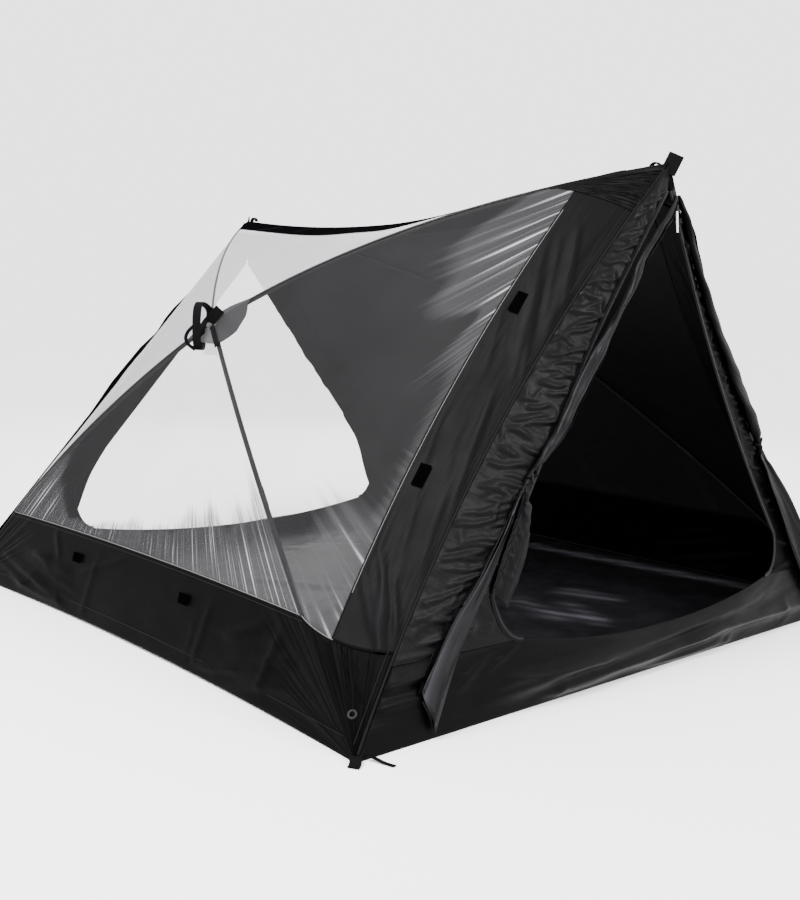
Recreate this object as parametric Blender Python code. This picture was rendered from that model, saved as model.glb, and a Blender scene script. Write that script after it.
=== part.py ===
"""A ridge tent held up by a sprung hub in each side wall.

Each side wall is stretched over four thin bowed poles that run from a hub in its middle to the two
peaks and the two ground corners on that side. Front and rear have a triangular doorway over a low sill.
Metres, +Z up. X runs across the tent, the front door faces -Y, and the origin is on the ground
under the middle of the tent.
"""

import math

import bmesh
import bpy
import numpy as np

# Overall size
FRONT_WIDTH = 2.10
REAR_WIDTH = 2.13
LENGTH = 2.03
FRONT_PEAK = 1.308
REAR_PEAK = 1.246
FRONT_LEAN = 0.058  # how far each peak stands in from the ends of the floor
REAR_LEAN = 0.062

# How far the free edges curve, at their middles
RIDGE_SAG = 0.076
FRONT_EDGE_HOLLOW = 0.094
FLOOR_EDGE_HOLLOW = 0.036
FLOOR_EDGE_LIFT = 0.006

# Hub of the left wall, and how far each pole bows out from a straight line
HUB_OUT = 0.690
HUB_BACK = 0.110
HUB_HEIGHT = 0.875
BOW = {"front_peak": 0.078, "front_foot": 0.036, "rear_foot": 0.056, "rear_peak": 0.046}
POLE_RADIUS = 0.0055
POLE_STOP = {"front_peak": 0.965, "front_foot": 0.975, "rear_foot": 0.975, "rear_peak": 0.965}
HUB_RADIUS = 0.030

# Cloth
CLOTH = 0.0015
GAP = 0.0003
GROUND = 0.0009  # the lower edge of the walls, so that their inner faces reach the ground

# Solid bands around the side wall, as widths
FRONT_BAND = 0.170
LOWER_BAND = 0.236
PEAK_PATCH = 0.200  # share of the pole's length that the front peak patch covers
PEAK_ON_RIDGE = 0.130
PEAK_ON_EDGE = 0.090
CORNER_ON_EDGE = 0.145

# Doorways
# Height of the peak, half width, height where the side turns into the sill, sill, bulge of the side
FRONT_DOOR = (1.240, 0.60, 0.28, 0.165, 0.0)
REAR_DOOR = (1.090, 0.66, 0.27, 0.125, 0.0)
DOOR_STRAIGHT = 0.8
SILL_SAG = 0.050
CORNER_TURN = 0.08
DOOR_TOP = 0.006
PEAK_CLEAR = 0.030
EDGE_INSET = 0.0030

FLAP_CLEAR = 0.0005
TOGGLE_RADIUS = 0.006
TOGGLE_LENGTH = 0.045
PULLER = (0.006, 0.004, 0.056)

# Straps, patches and loops
HUB_TOP = 0.013
STRAP_WIDTH = 0.025
STRAP_THICKNESS = 0.0025
PEAK_TAB = (0.038, 0.045, 0.003)
CORNER_THICKNESS = 0.004
CORNER_OUTLINE = [  # outward across the tent and outward along it, from the ground corner
    (0.0006, -0.030), (0.014, -0.012), (0.024, 0.022), (-0.008, 0.010), (-0.036, 0.010),
    (-0.047, 0.066), (-0.059, 0.064), (-0.054, 0.0006), (0.0006, 0.0006),
]

BLACK = (0.012, 0.012, 0.014)
BAND_BLACK = (0.016, 0.016, 0.018)
MESH_GREY = (0.085, 0.085, 0.090)
POLE_GREY = (0.030, 0.030, 0.032)


def point(x, y, z):
    return np.array([x, y, z], dtype=float)


FRONT_TOP = point(0, FRONT_LEAN - LENGTH / 2, FRONT_PEAK)
REAR_TOP = point(0, LENGTH / 2 - REAR_LEAN, REAR_PEAK)
FRONT_FOOT = point(-FRONT_WIDTH / 2, -LENGTH / 2, GROUND)
REAR_FOOT = point(-REAR_WIDTH / 2, LENGTH / 2, GROUND)
HUB = point(-HUB_OUT, HUB_BACK, HUB_HEIGHT)
UP = point(0, 0, 1)


def unit(v):
    return v / np.linalg.norm(v)


WALL_OUT = unit(np.cross(REAR_FOOT - FRONT_FOOT, FRONT_TOP - FRONT_FOOT))
if WALL_OUT[0] > 0:
    WALL_OUT = -WALL_OUT


def bowed(start, end, height, direction):
    """A curve from start to end that leaves the straight line by height at its middle."""
    return lambda s: start + s * (end - start) + 4 * height * s * (1 - s) * direction


POLE_LINES = {
    "front_peak": bowed(HUB, FRONT_TOP, BOW["front_peak"], WALL_OUT),
    "front_foot": bowed(HUB, FRONT_FOOT, BOW["front_foot"], WALL_OUT),
    "rear_foot": bowed(HUB, REAR_FOOT, BOW["rear_foot"], WALL_OUT),
    "rear_peak": bowed(HUB, REAR_TOP, BOW["rear_peak"], WALL_OUT),
}
RIDGE = bowed(REAR_TOP, FRONT_TOP, RIDGE_SAG, -UP)
FRONT_EDGE = bowed(FRONT_TOP, FRONT_FOOT, FRONT_EDGE_HOLLOW, point(0, 1, 0))
REAR_EDGE = bowed(REAR_FOOT, REAR_TOP, 0, UP)


def floor_edge(t):
    hollow = 4 * t * (1 - t)
    line = FRONT_FOOT + t * (REAR_FOOT - FRONT_FOOT)
    return line + hollow * point(FLOOR_EDGE_HOLLOW, 0, FLOOR_EDGE_LIFT)


def facet(pole_a, pole_b, edge):
    """The cloth between two poles: s runs from the hub to the edge, t from pole_a to pole_b."""
    a, b = POLE_LINES[pole_a], POLE_LINES[pole_b]

    def surface(s, t):
        straight = (1 - t) * a(1) + t * b(1)
        return (1 - t) * a(s) + t * b(s) + s * s * (edge(t) - straight)

    return surface


UPPER = facet("rear_peak", "front_peak", RIDGE)
FRONT = facet("front_peak", "front_foot", FRONT_EDGE)
LOWER = facet("front_foot", "rear_foot", floor_edge)
REAR = facet("rear_foot", "rear_peak", REAR_EDGE)


def share(width, end_a, end_b):
    """The s at which a band of this width starts, on the facet between two ends of its outer edge."""
    height = np.linalg.norm(np.cross(HUB - end_a, end_b - end_a)) / np.linalg.norm(end_b - end_a)
    return 1 - width / height


def spread(a, b, count):
    return [a + (b - a) * k / count for k in range(count + 1)]


# The same rows of s are used on every facet, so that neighbours share their corner points
S_HUB = 0.050
S_LOWER = share(LOWER_BAND, FRONT_FOOT, REAR_FOOT)
S_PEAK = 1 - PEAK_PATCH
S_FRONT = share(FRONT_BAND, FRONT_TOP, FRONT_FOOT)
INNER_ROWS = spread(S_HUB, S_LOWER, 7)
MIDDLE_ROWS = spread(S_LOWER, S_PEAK, 1) + [S_FRONT]
OUTER_ROWS = spread(S_FRONT, 1, 3)
SEAM_SHARE = GAP / 1.1
RIDGE_TRIM = 0.0020
COLUMNS = 12


def peak_on_ridge(s):
    return 1 - PEAK_ON_RIDGE * max(0, s - S_PEAK) / PEAK_PATCH


def peak_on_edge(s):
    return PEAK_ON_EDGE * max(0, s - S_PEAK) / PEAK_PATCH


def corner_seam(s):
    """Where the lower band's seam runs on across the front facet, and in mirror on the rear one."""
    return 1 - CORNER_ON_EDGE * (max(0, s - S_LOWER) / (1 - S_LOWER)) ** 1.15


def rows(surface, s_values, low, high, columns):
    grid = []
    for s in s_values:
        a, b = low(s), high(s)
        grid.append([surface(s, a + (b - a) * k / columns) for k in range(columns + 1)])
    return np.array(grid)


def material(name, colour, roughness, metallic=0.0):
    found = bpy.data.materials.get(name)
    if found:
        return found
    made = bpy.data.materials.new(name)
    made.use_nodes = True
    shader = made.node_tree.nodes["Principled BSDF"]
    shader.inputs["Base Color"].default_value = (*colour, 1)
    shader.inputs["Roughness"].default_value = roughness
    shader.inputs["Metallic"].default_value = metallic
    return made


def add_object(name, mesh, finish):
    made = bpy.data.objects.new(name, mesh)
    mesh.materials.append(finish)
    bpy.context.scene.collection.objects.link(made)
    return made


def mirrored(grid):
    return grid * point(-1, 1, 1)


def grid_mesh(name, grids, outward):
    """One mesh of quads from one or more grids, facing the outward direction."""
    bm = bmesh.new()
    for grid in grids:
        across = np.diff(grid[:, :-1], axis=0)
        along = np.diff(grid[:-1], axis=1)
        if np.cross(across, along).sum(axis=(0, 1)) @ outward < 0:
            grid = grid[::-1]
        verts = [[bm.verts.new(p) for p in row] for row in grid]
        for low_row, high_row in zip(verts, verts[1:]):
            for k in range(len(low_row) - 1):
                bm.faces.new((low_row[k], high_row[k], high_row[k + 1], low_row[k + 1]))
    bmesh.ops.remove_doubles(bm, verts=bm.verts, dist=1e-6)
    mesh = bpy.data.meshes.new(name)
    bm.to_mesh(mesh)
    bm.free()
    mesh.shade_smooth()
    return mesh


def cloth(name, grids, outward, finish, thickness=CLOTH):
    """A sheet of cloth: the outer face from the grids, thickened inward."""
    made = add_object(name, grid_mesh(name, grids, outward), finish)
    solid = made.modifiers.new("thickness", "SOLIDIFY")
    solid.thickness = thickness
    solid.offset = -1
    return made


def both_sides(name, grids, outward, finish, right_name=None, right_finish=None):
    cloth("left_" + name, grids, outward, finish)
    right = [mirrored(g) for g in grids]
    cloth("right_" + (right_name or name), right, mirrored(outward), right_finish or finish)


def solid_from_rings(name, rings, finish):
    """A closed solid through rings of points, with flat ends."""
    bm = bmesh.new()
    loops = [[bm.verts.new(p) for p in ring] for ring in rings]
    count = len(loops[0])
    for low_loop, high_loop in zip(loops, loops[1:]):
        for k in range(count):
            n = (k + 1) % count
            bm.faces.new((low_loop[k], low_loop[n], high_loop[n], high_loop[k]))
    bm.faces.new(loops[0][::-1])
    bm.faces.new(loops[-1])
    bmesh.ops.recalc_face_normals(bm, faces=bm.faces)
    mesh = bpy.data.meshes.new(name)
    bm.to_mesh(mesh)
    bm.free()
    return add_object(name, mesh, finish)


def box(name, centre, axes, sizes, finish):
    """A block whose edges run along three given axes."""
    axes = [unit(a) * size / 2 for a, size in zip(axes, sizes)]
    rings = []
    for k in (-1, 1):
        corners = ((-1, -1), (1, -1), (1, 1), (-1, 1))
        rings.append([centre + i * axes[0] + j * axes[1] + k * axes[2] for i, j in corners])
    return solid_from_rings(name, rings, finish)


FACETS_AT = {
    "front_peak": ((UPPER, 1, -1), (FRONT, 0, 1)),
    "front_foot": ((FRONT, 1, -1), (LOWER, 0, 1)),
    "rear_foot": ((LOWER, 1, -1), (REAR, 0, 1)),
    "rear_peak": ((REAR, 1, -1), (UPPER, 0, 1)),
}


def facet_normal(surface, s, t, step):
    """The outward normal of a facet's first strip beside a pole."""
    here = surface(s, t)
    along = surface(min(s + 0.01, 1), t) - surface(s - 0.01, t)
    normal = unit(np.cross(along, surface(s, t + step) - here))
    return normal if normal @ WALL_OUT > 0 else -normal


def seam_trim(end, s):
    """How far a panel stops short of a fold, so that two thick panels clear each other inside it."""
    first, second = [facet_normal(f, s, t, step / COLUMNS) for f, t, step in FACETS_AT[end]]
    half_turn = math.acos(min(1, first @ second)) / 2
    return CLOTH * math.tan(half_turn) + 2 * GAP


def trimmed(surface, low=lambda s: 0, high=lambda s: 1):
    """The two side limits of a panel, each drawn in from the fold or from the next panel."""
    ends = [end for end, sides in FACETS_AT.items() if surface in (sides[0][0], sides[1][0])]
    at_low = next(end for end in ends if FACETS_AT[end][1][0] is surface)
    at_high = next(end for end in ends if FACETS_AT[end][0][0] is surface)

    def share_of(end, s):
        return seam_trim(end, s) / np.linalg.norm(surface(s, 1) - surface(s, 0))

    return (lambda s: low(s) + share_of(at_low, s)), (lambda s: high(s) - share_of(at_high, s))


def wall_panel(name, surface, s_values, low, high):
    """A panel between two poles: sheer mesh on the left, and the solid cover on the right."""
    mesh = material("sheer_mesh", MESH_GREY, 0.6)
    cover = material("cover_cloth", BLACK, 0.5)
    panel = rows(surface, s_values, low, high, COLUMNS)
    both_sides("mesh_" + name, [panel], WALL_OUT, mesh, "cover_" + name, cover)


def wall_panels():
    panel_rows = INNER_ROWS + MIDDLE_ROWS[1:-1] + [S_FRONT - SEAM_SHARE]
    low, high = trimmed(UPPER, high=peak_on_ridge)
    wall_panel("upper", UPPER, panel_rows, low, high)
    low, high = trimmed(FRONT, peak_on_edge, corner_seam)
    wall_panel("front", FRONT, panel_rows, low, high)
    low, high = trimmed(LOWER)
    wall_panel("lower", LOWER, INNER_ROWS[:-1] + [S_LOWER - SEAM_SHARE], low, high)
    low, high = trimmed(REAR, low=lambda s: 1 - corner_seam(s))
    wall_panel("rear", REAR, INNER_ROWS + MIDDLE_ROWS[1:] + OUTER_ROWS[1:], low, high)


def bands():
    finish = material("band_cloth", BAND_BLACK, 0.55)
    low, high = trimmed(FRONT, peak_on_edge, corner_seam)
    both_sides("front_band", [rows(FRONT, OUTER_ROWS, low, high, COLUMNS)], WALL_OUT, finish)

    # The lower band is one piece that folds round the pole at each ground corner
    band_rows = MIDDLE_ROWS[1:] + OUTER_ROWS[1:]
    front_corner = rows(FRONT, band_rows, corner_seam, lambda s: 1, 3)
    main = rows(LOWER, band_rows, lambda s: 0, lambda s: 1, COLUMNS)
    rear_corner = rows(REAR, band_rows, lambda s: 0, lambda s: 1 - corner_seam(s), 3)
    top = rows(LOWER, [S_LOWER], lambda s: 0, lambda s: 1, COLUMNS)
    top = np.concatenate([np.repeat(top[:, :1], 3, axis=1), top, np.repeat(top[:, -1:], 3, axis=1)], axis=1)
    lower = np.concatenate([front_corner[:, :-1], main, rear_corner[:, 1:]], axis=1)
    both_sides("lower_band", [np.concatenate([top, lower])], WALL_OUT, finish)

    # The front peak patch folds over the pole, from the ridge to the front edge
    patch_rows = MIDDLE_ROWS[1:] + OUTER_ROWS[1:-1] + [1 - RIDGE_TRIM]
    upper_part = rows(UPPER, patch_rows, peak_on_ridge, lambda s: 1, 4)
    front_part = rows(FRONT, patch_rows, lambda s: 0, peak_on_edge, 3)
    patch = np.concatenate([upper_part[:, :-1], front_part], axis=1)
    both_sides("front_peak_patch", [patch], WALL_OUT, finish)


def ridge():
    finish = material("band_cloth", BAND_BLACK, 0.55)
    low, high = trimmed(UPPER, high=peak_on_ridge)
    left = rows(UPPER, OUTER_ROWS, low, high, COLUMNS)
    cloth("ridge_band", [np.concatenate([left, mirrored(left)[-2::-1]])], UP, finish)


def floor():
    finish = material("floor_cloth", BLACK, 0.35)
    inset = 0.0022
    left = [floor_edge(t) for t in spread(0, 1, 10)]
    inner = [point(p[0] + inset, p[1] * (1 - 2 * inset / LENGTH), 0.0) for p in left]
    grid = np.array([[point(p[0] * k, p[1], CLOTH) for k in (1, 0.5, 0, -0.5, -1)] for p in inner])
    cloth("floor", [grid], UP, finish, CLOTH)


def under_seam(end, s, depth):
    """A point under the fold where two facets meet, this deep below both of them."""
    normals = [facet_normal(f, s, t, step / COLUMNS) for f, t, step in FACETS_AT[end]]
    middle = unit(normals[0] + normals[1])
    return POLE_LINES[end](s) - middle * depth / (normals[0] @ middle)


def pole_start(end, depth):
    """The s at which a pole's end face just clears the round side of the hub."""
    centre = HUB - depth * WALL_OUT
    length = np.linalg.norm(POLE_LINES[end](1) - POLE_LINES[end](0))
    s = HUB_RADIUS / length
    for _ in range(12):
        arm = under_seam(end, s, depth) - centre
        out = arm @ WALL_OUT
        radial = np.linalg.norm(arm - out * WALL_OUT)
        tilt = abs(out) / radial
        s += (HUB_RADIUS + POLE_RADIUS * tilt + 2 * GAP - radial) / length
    return s


def poles():
    finish = material("pole_fibre", POLE_GREY, 0.35)
    all_rows = INNER_ROWS + MIDDLE_ROWS[1:] + OUTER_ROWS[1:]
    depth = POLE_RADIUS + CLOTH + GAP
    for sign, side in ((1, "left"), (-1, "right")):
        for end in POLE_LINES:
            start = pole_start(end, depth)
            stop = POLE_STOP[end]
            places = [start] + [s for s in all_rows if start + 0.01 < s < stop - 0.01] + [stop]
            curve = bpy.data.curves.new(f"{side}_pole_{end}", "CURVE")
            curve.dimensions = "3D"
            spline = curve.splines.new("POLY")
            spline.points.add(len(places) - 1)
            for target, s in zip(spline.points, places):
                p = under_seam(end, s, depth)
                target.co = (p[0] * sign, p[1], p[2], 1)
            curve.bevel_depth = POLE_RADIUS
            curve.bevel_resolution = 2
            curve.use_fill_caps = True
            add_object(curve.name, curve, finish)


def hubs():
    finish = material("hub_plastic", (0.045, 0.045, 0.048), 0.45)
    inward = POLE_RADIUS + CLOTH + GAP
    for sign, side in ((1, "left"), (-1, "right")):
        normal = WALL_OUT
        across = unit(np.cross(normal, UP))
        upward = np.cross(across, normal)
        centre = HUB - inward * normal
        rings = []
        for depth, radius in ((-0.017, 0.85), (-0.012, 1), (0.008, 1), (0.013, 0.85)):
            ring = []
            for k in range(16):
                angle = math.tau * k / 16
                arm = across * math.cos(angle) + upward * math.sin(angle)
                ring.append((centre + depth * normal + HUB_RADIUS * radius * arm) * point(sign, 1, 1))
            rings.append(ring)
        solid_from_rings(f"{side}_hub", rings, finish)


class EndWall:
    """The front or rear wall: its surface, its doorway and the height of its sill."""

    def __init__(self, name, face, top, foot, lean, hollow, door):
        self.name, self.face, self.top, self.foot = name, face, top[2], abs(foot[0])
        self.lean, self.hollow = lean, hollow
        self.peak, self.half_width, self.corner, self.sill, self.bulge = door

    def edge_x(self, z):
        return self.foot * (1 - z / self.top)

    def on(self, x, z, out=0.0):
        """The point of the wall at x and z, moved outward by out."""
        t = 1 - z / self.top
        inward = self.lean * (1 - t) + 4 * self.hollow * t * (1 - t) * (x / self.edge_x(z)) ** 2
        return point(x, self.face * (LENGTH / 2 - inward + out), z)

    def door_side(self, k):
        """The right side of the doorway, from its peak at 0 down to the sill at 1, as x and z."""
        if k < 0:
            return DOOR_TOP, self.top - PEAK_CLEAR
        run = min(k / DOOR_STRAIGHT, 1)
        turn = max(0, k - DOOR_STRAIGHT) / (1 - DOOR_STRAIGHT) * math.pi / 2
        x = DOOR_TOP + (self.half_width - DOOR_TOP) * run + self.bulge * math.sin(math.pi * run)
        z = self.peak + (self.corner - self.peak) * run
        return x - (1 - math.cos(turn)) * CORNER_TURN, z - (self.corner - self.sill) * math.sin(turn)

    def strip(self):
        grid = []
        for k in [-1] + spread(0, 1, 15):
            x, z = self.door_side(k)
            z += GAP if k == 1 else 0
            outer = self.edge_x(z) - EDGE_INSET
            grid.append([self.on(outer + (x - outer) * j / 4, z) for j in range(5)])
        return np.array(grid)

    def sill_grid(self):
        grid = []
        door = self.door_side(1)[0]
        for r in spread(0, 1, 3):
            row = []
            for k in spread(-1, 1, 18):
                sag = SILL_SAG * max(0, 1 - (k * self.edge_x(self.sill) / door) ** 2)
                z = r * (self.sill - sag)
                row.append(self.on(k * (self.edge_x(z) - EDGE_INSET), z))
            grid.append(row)
        return np.array(grid)


FRONT_WALL = EndWall("front", -1, FRONT_TOP, FRONT_FOOT, FRONT_LEAN, FRONT_EDGE_HOLLOW, FRONT_DOOR)
REAR_WALL = EndWall("rear", 1, REAR_TOP, REAR_FOOT, REAR_LEAN, 0, REAR_DOOR)


def end_walls():
    finish = material("door_cloth", (0.020, 0.020, 0.022), 0.45)
    for wall in (FRONT_WALL, REAR_WALL):
        outward = point(0, wall.face, 0)
        strip = wall.strip()
        cloth(f"{wall.name}_wall_right", [strip], outward, finish)
        cloth(f"{wall.name}_wall_left", [mirrored(strip)], outward, finish)
        cloth(f"{wall.name}_sill", [wall.sill_grid()], outward, finish)


def ring_of(centre, wide, deep, sides=10):
    """A flattened ring round a point: wide and deep are its two half axes."""
    angles = [math.tau * k / sides for k in range(sides)]
    return [centre + wide * math.cos(a) + deep * math.sin(a) for a in angles]


def hanging_cloth(name, wall, route, finish):
    """Bunched cloth in front of an end wall. Each row of the route is x, z, half width, half depth."""
    rings = []
    for k, (x, z, half_width, half_depth) in enumerate(route):
        last, following = route[max(k - 1, 0)], route[min(k + 1, len(route) - 1)]
        run = unit(point(following[0] - last[0], 0, following[1] - last[1]))
        side = np.cross(run, point(0, 1, 0)) * half_width
        ends = [wall.on(x + i * side[0], z + i * side[2]) for i in (1, -1)]
        wide = (ends[0] - ends[1]) / 2
        deep = unit(np.cross(wide, run)) * half_depth
        deep = deep if deep[1] * wall.face > 0 else -deep
        centre = wall.on(x, z, FLAP_CLEAR) + deep
        rings.append(ring_of(centre, wide, deep))
    return solid_from_rings(name, rings, finish)


# Door flaps, from the top of the doorway down: x, z, half width, half depth
FLAP_LEFT = [
    (0.004, 1.190, 0.011, 0.006), (-0.100, 1.060, 0.016, 0.009), (-0.180, 0.920, 0.018, 0.011),
    (-0.270, 0.790, 0.023, 0.013), (-0.356, 0.660, 0.022, 0.013), (-0.470, 0.535, 0.019, 0.013),
    (-0.552, 0.420, 0.017, 0.012), (-0.646, 0.300, 0.025, 0.011), (-0.742, 0.200, 0.037, 0.010),
    (-0.806, 0.110, 0.041, 0.009), (-0.824, 0.030, 0.014, 0.006),
]
FLAP_LEFT_LINING = [
    (-0.472, 0.490, 0.006, 0.003), (-0.513, 0.425, 0.012, 0.004), (-0.556, 0.350, 0.020, 0.004),
    (-0.589, 0.290, 0.022, 0.004), (-0.638, 0.235, 0.018, 0.003),
]
FLAP_RIGHT = [
    (0.070, 1.190, 0.014, 0.006), (0.135, 1.060, 0.032, 0.012), (0.225, 0.920, 0.042, 0.016),
    (0.315, 0.790, 0.046, 0.018), (0.400, 0.670, 0.044, 0.018), (0.475, 0.560, 0.022, 0.013),
    (0.550, 0.440, 0.042, 0.012), (0.635, 0.320, 0.060, 0.011), (0.705, 0.210, 0.064, 0.010),
    (0.755, 0.110, 0.058, 0.009), (0.775, 0.030, 0.020, 0.006),
]
REAR_FLAP = [
    (0.040, 1.075, 0.014, 0.006), (0.125, 0.960, 0.022, 0.010), (0.240, 0.815, 0.026, 0.013),
    (0.355, 0.675, 0.028, 0.014), (0.470, 0.540, 0.020, 0.012), (0.560, 0.430, 0.040, 0.012),
    (0.645, 0.310, 0.056, 0.010), (0.715, 0.190, 0.060, 0.009), (0.755, 0.060, 0.036, 0.007),
]


def flipped(route):
    return [(-x, *rest) for x, *rest in route]


def door_flaps():
    finish = material("door_cloth", (0.020, 0.020, 0.022), 0.45)
    hanging_cloth("front_flap_left", FRONT_WALL, FLAP_LEFT, finish)
    hanging_cloth("front_flap_left_lining", FRONT_WALL, FLAP_LEFT_LINING, finish)
    hanging_cloth("front_flap_right", FRONT_WALL, FLAP_RIGHT, finish)
    hanging_cloth("rear_flap_right", REAR_WALL, REAR_FLAP, finish)
    hanging_cloth("rear_flap_left", REAR_WALL, flipped(REAR_FLAP), finish)


def door_fittings():
    plastic = material("hub_plastic", (0.045, 0.045, 0.048), 0.45)
    ties = [(FRONT_WALL, "left", FLAP_LEFT, 5), (FRONT_WALL, "right", FLAP_RIGHT, 5),
            (REAR_WALL, "left", flipped(REAR_FLAP), 4), (REAR_WALL, "right", REAR_FLAP, 4)]
    for wall, side, route, k in ties:
        run = unit(point(route[k + 1][0] - route[k - 1][0], 0, route[k + 1][1] - route[k - 1][1]))
        across = unit(np.cross(run, point(0, 1, 0)))
        x, z, _, half_depth = route[k]
        centre = wall.on(x, z, FLAP_CLEAR + 2 * half_depth + GAP + TOGGLE_RADIUS)
        tips = (centre - across * TOGGLE_LENGTH / 2, centre + across * TOGGLE_LENGTH / 2)
        rings = [ring_of(tip, run * TOGGLE_RADIUS, point(0, TOGGLE_RADIUS, 0), 8) for tip in tips]
        solid_from_rings(f"{wall.name}_{side}_toggle", rings, plastic)

    cord = material("white_cord", (0.80, 0.80, 0.80), 0.5)
    for wall, x, z in ((FRONT_WALL, 0.048, 1.192), (REAR_WALL, 0.012, 1.160)):
        along = unit(wall.on(x, z) - wall.on(x, z - PULLER[2]))
        outward = unit(np.cross(along, point(1, 0, 0))) * wall.face
        outward = outward if outward[1] * wall.face > 0 else -outward
        centre = wall.on(x, z) - along * PULLER[2] / 2 + outward * (PULLER[1] / 2 + 3 * GAP)
        box(f"{wall.name}_zip_puller", centre, (point(1, 0, 0), outward, along), PULLER, cord)


def ribbon(name, route, across, thickness, finish):
    """Webbing sewn into a closed loop that follows the route, with its width along across."""
    count = len(route)
    bm = bmesh.new()
    rings = []
    for k in range(count):
        run = unit(route[(k + 1) % count] - route[k - 1])
        out = unit(np.cross(run, across)) * thickness / 2
        corners = ((-1, -1), (1, -1), (1, 1), (-1, 1))
        rings.append([bm.verts.new(route[k] + across * i / 2 + out * j) for i, j in corners])
    for k in range(count):
        here, following = rings[k], rings[(k + 1) % count]
        for j in range(4):
            bm.faces.new((here[j], here[(j + 1) % 4], following[(j + 1) % 4], following[j]))
    bmesh.ops.recalc_face_normals(bm, faces=bm.faces)
    mesh = bpy.data.meshes.new(name)
    bm.to_mesh(mesh)
    bm.free()
    return add_object(name, mesh, finish)


# Pull strap, from the hub's outer face round and back: outward and upward from the face's middle
STRAP_ROUTE = [
    (0.000, -0.014), (0.000, 0.000), (0.000, 0.014), (0.008, 0.036), (0.024, 0.058), (0.042, 0.062),
    (0.056, 0.046), (0.062, 0.018), (0.063, -0.014), (0.062, -0.044), (0.056, -0.068),
    (0.042, -0.074), (0.028, -0.058), (0.012, -0.034),
]


def pull_straps():
    finish = material("webbing", (0.010, 0.010, 0.010), 0.7)
    face = HUB + (HUB_TOP - POLE_RADIUS - CLOTH + STRAP_THICKNESS / 2) * WALL_OUT
    along = unit(np.cross(np.cross(WALL_OUT, UP), WALL_OUT))
    for sign, side in ((1, "left"), (-1, "right")):
        route = []
        for out, up in STRAP_ROUTE:
            hang = min(1, out / 0.03)
            direction = (1 - hang) * WALL_OUT + hang * point(-1, 0, 0)
            rise = (1 - hang) * along + hang * UP
            route.append((face + out * direction + up * rise) * point(sign, 1, 1))
        ribbon(f"{side}_pull_strap", route, point(0, STRAP_WIDTH, 0), STRAP_THICKNESS, finish)


def peak_tabs():
    """A tab of webbing sewn to each peak."""
    finish = material("webbing", (0.010, 0.010, 0.010), 0.7)
    for name, top, face, seat in (("front", FRONT_TOP, -1, 0.0018), ("rear", REAR_TOP, 1, 0.0010)):
        axes = (unit(point(0.30, face * 0.60, -0.30)), unit(point(0.25, face * 0.35, 0.95)))
        normal = unit(np.cross(axes[0], axes[1]))
        across = np.cross(axes[1], normal)
        centre = top + point(0, face * 0.0015, -seat) + axes[1] * PEAK_TAB[1] / 2
        box(f"{name}_peak_tab", centre, (across, axes[1], normal), PEAK_TAB, finish)


def corner_loops():
    finish = material("webbing", (0.010, 0.010, 0.010), 0.7)
    for end, foot, face in (("front", FRONT_FOOT, -1), ("rear", REAR_FOOT, 1)):
        for side, sign in (("left", -1), ("right", 1)):
            corner = point(sign * abs(foot[0]), foot[1], 0)
            outline = [corner + point(sign * u, face * v, 0) for u, v in CORNER_OUTLINE]
            rings = [outline, [p + UP * CORNER_THICKNESS for p in outline]]
            solid_from_rings(f"{end}_{side}_corner_loop", rings, finish)


for old in list(bpy.data.objects):
    bpy.data.objects.remove(old)
wall_panels()
bands()
ridge()
floor()
poles()
hubs()
end_walls()
door_flaps()
door_fittings()
pull_straps()
peak_tabs()
corner_loops()
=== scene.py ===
import math

import bmesh
import bpy
import numpy as np
from mathutils import Matrix, Vector


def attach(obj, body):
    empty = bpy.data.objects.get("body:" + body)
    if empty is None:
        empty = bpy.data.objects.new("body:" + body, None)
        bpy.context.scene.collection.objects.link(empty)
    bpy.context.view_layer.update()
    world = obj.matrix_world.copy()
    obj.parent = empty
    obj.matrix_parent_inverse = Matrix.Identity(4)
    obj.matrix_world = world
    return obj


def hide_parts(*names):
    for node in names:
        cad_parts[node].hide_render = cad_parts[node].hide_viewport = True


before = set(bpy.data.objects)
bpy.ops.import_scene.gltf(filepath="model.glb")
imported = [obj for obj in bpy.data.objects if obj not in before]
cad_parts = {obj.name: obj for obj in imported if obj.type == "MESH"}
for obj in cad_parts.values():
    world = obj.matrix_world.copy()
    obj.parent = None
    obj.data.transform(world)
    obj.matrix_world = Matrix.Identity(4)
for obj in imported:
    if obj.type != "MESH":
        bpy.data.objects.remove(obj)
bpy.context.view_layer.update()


# Studio
# A plain pale floor under a white sky, and three large soft lamps. The camera stands in front of the
# tent's near corner, a little below the height of the ridge.

def put_object(name, data):
    made = bpy.data.objects.new(name, data)
    bpy.context.scene.collection.objects.link(made)
    return made


CAMERA_PLACE = (-2.448, -2.699, 0.918)
CAMERA_TURNS = (-41.686, 7.067, 1.391)
camera_data = bpy.data.cameras.new("camera")
camera_data.lens = 44.765
camera = put_object("camera", camera_data)
azimuth, pitch, roll = (math.radians(turn) for turn in CAMERA_TURNS)
look = Vector((-math.sin(azimuth), math.cos(azimuth), 0)) * math.cos(pitch)
look.z = -math.sin(pitch)
level = Vector((math.cos(azimuth), math.sin(azimuth), 0))
upright = level.cross(look)
camera_x = level * math.cos(roll) + upright * math.sin(roll)
camera_y = upright * math.cos(roll) - level * math.sin(roll)
camera.matrix_world = Matrix((camera_x, camera_y, -look)).transposed().to_4x4()
camera.location = CAMERA_PLACE
bpy.context.scene.camera = camera

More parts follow.
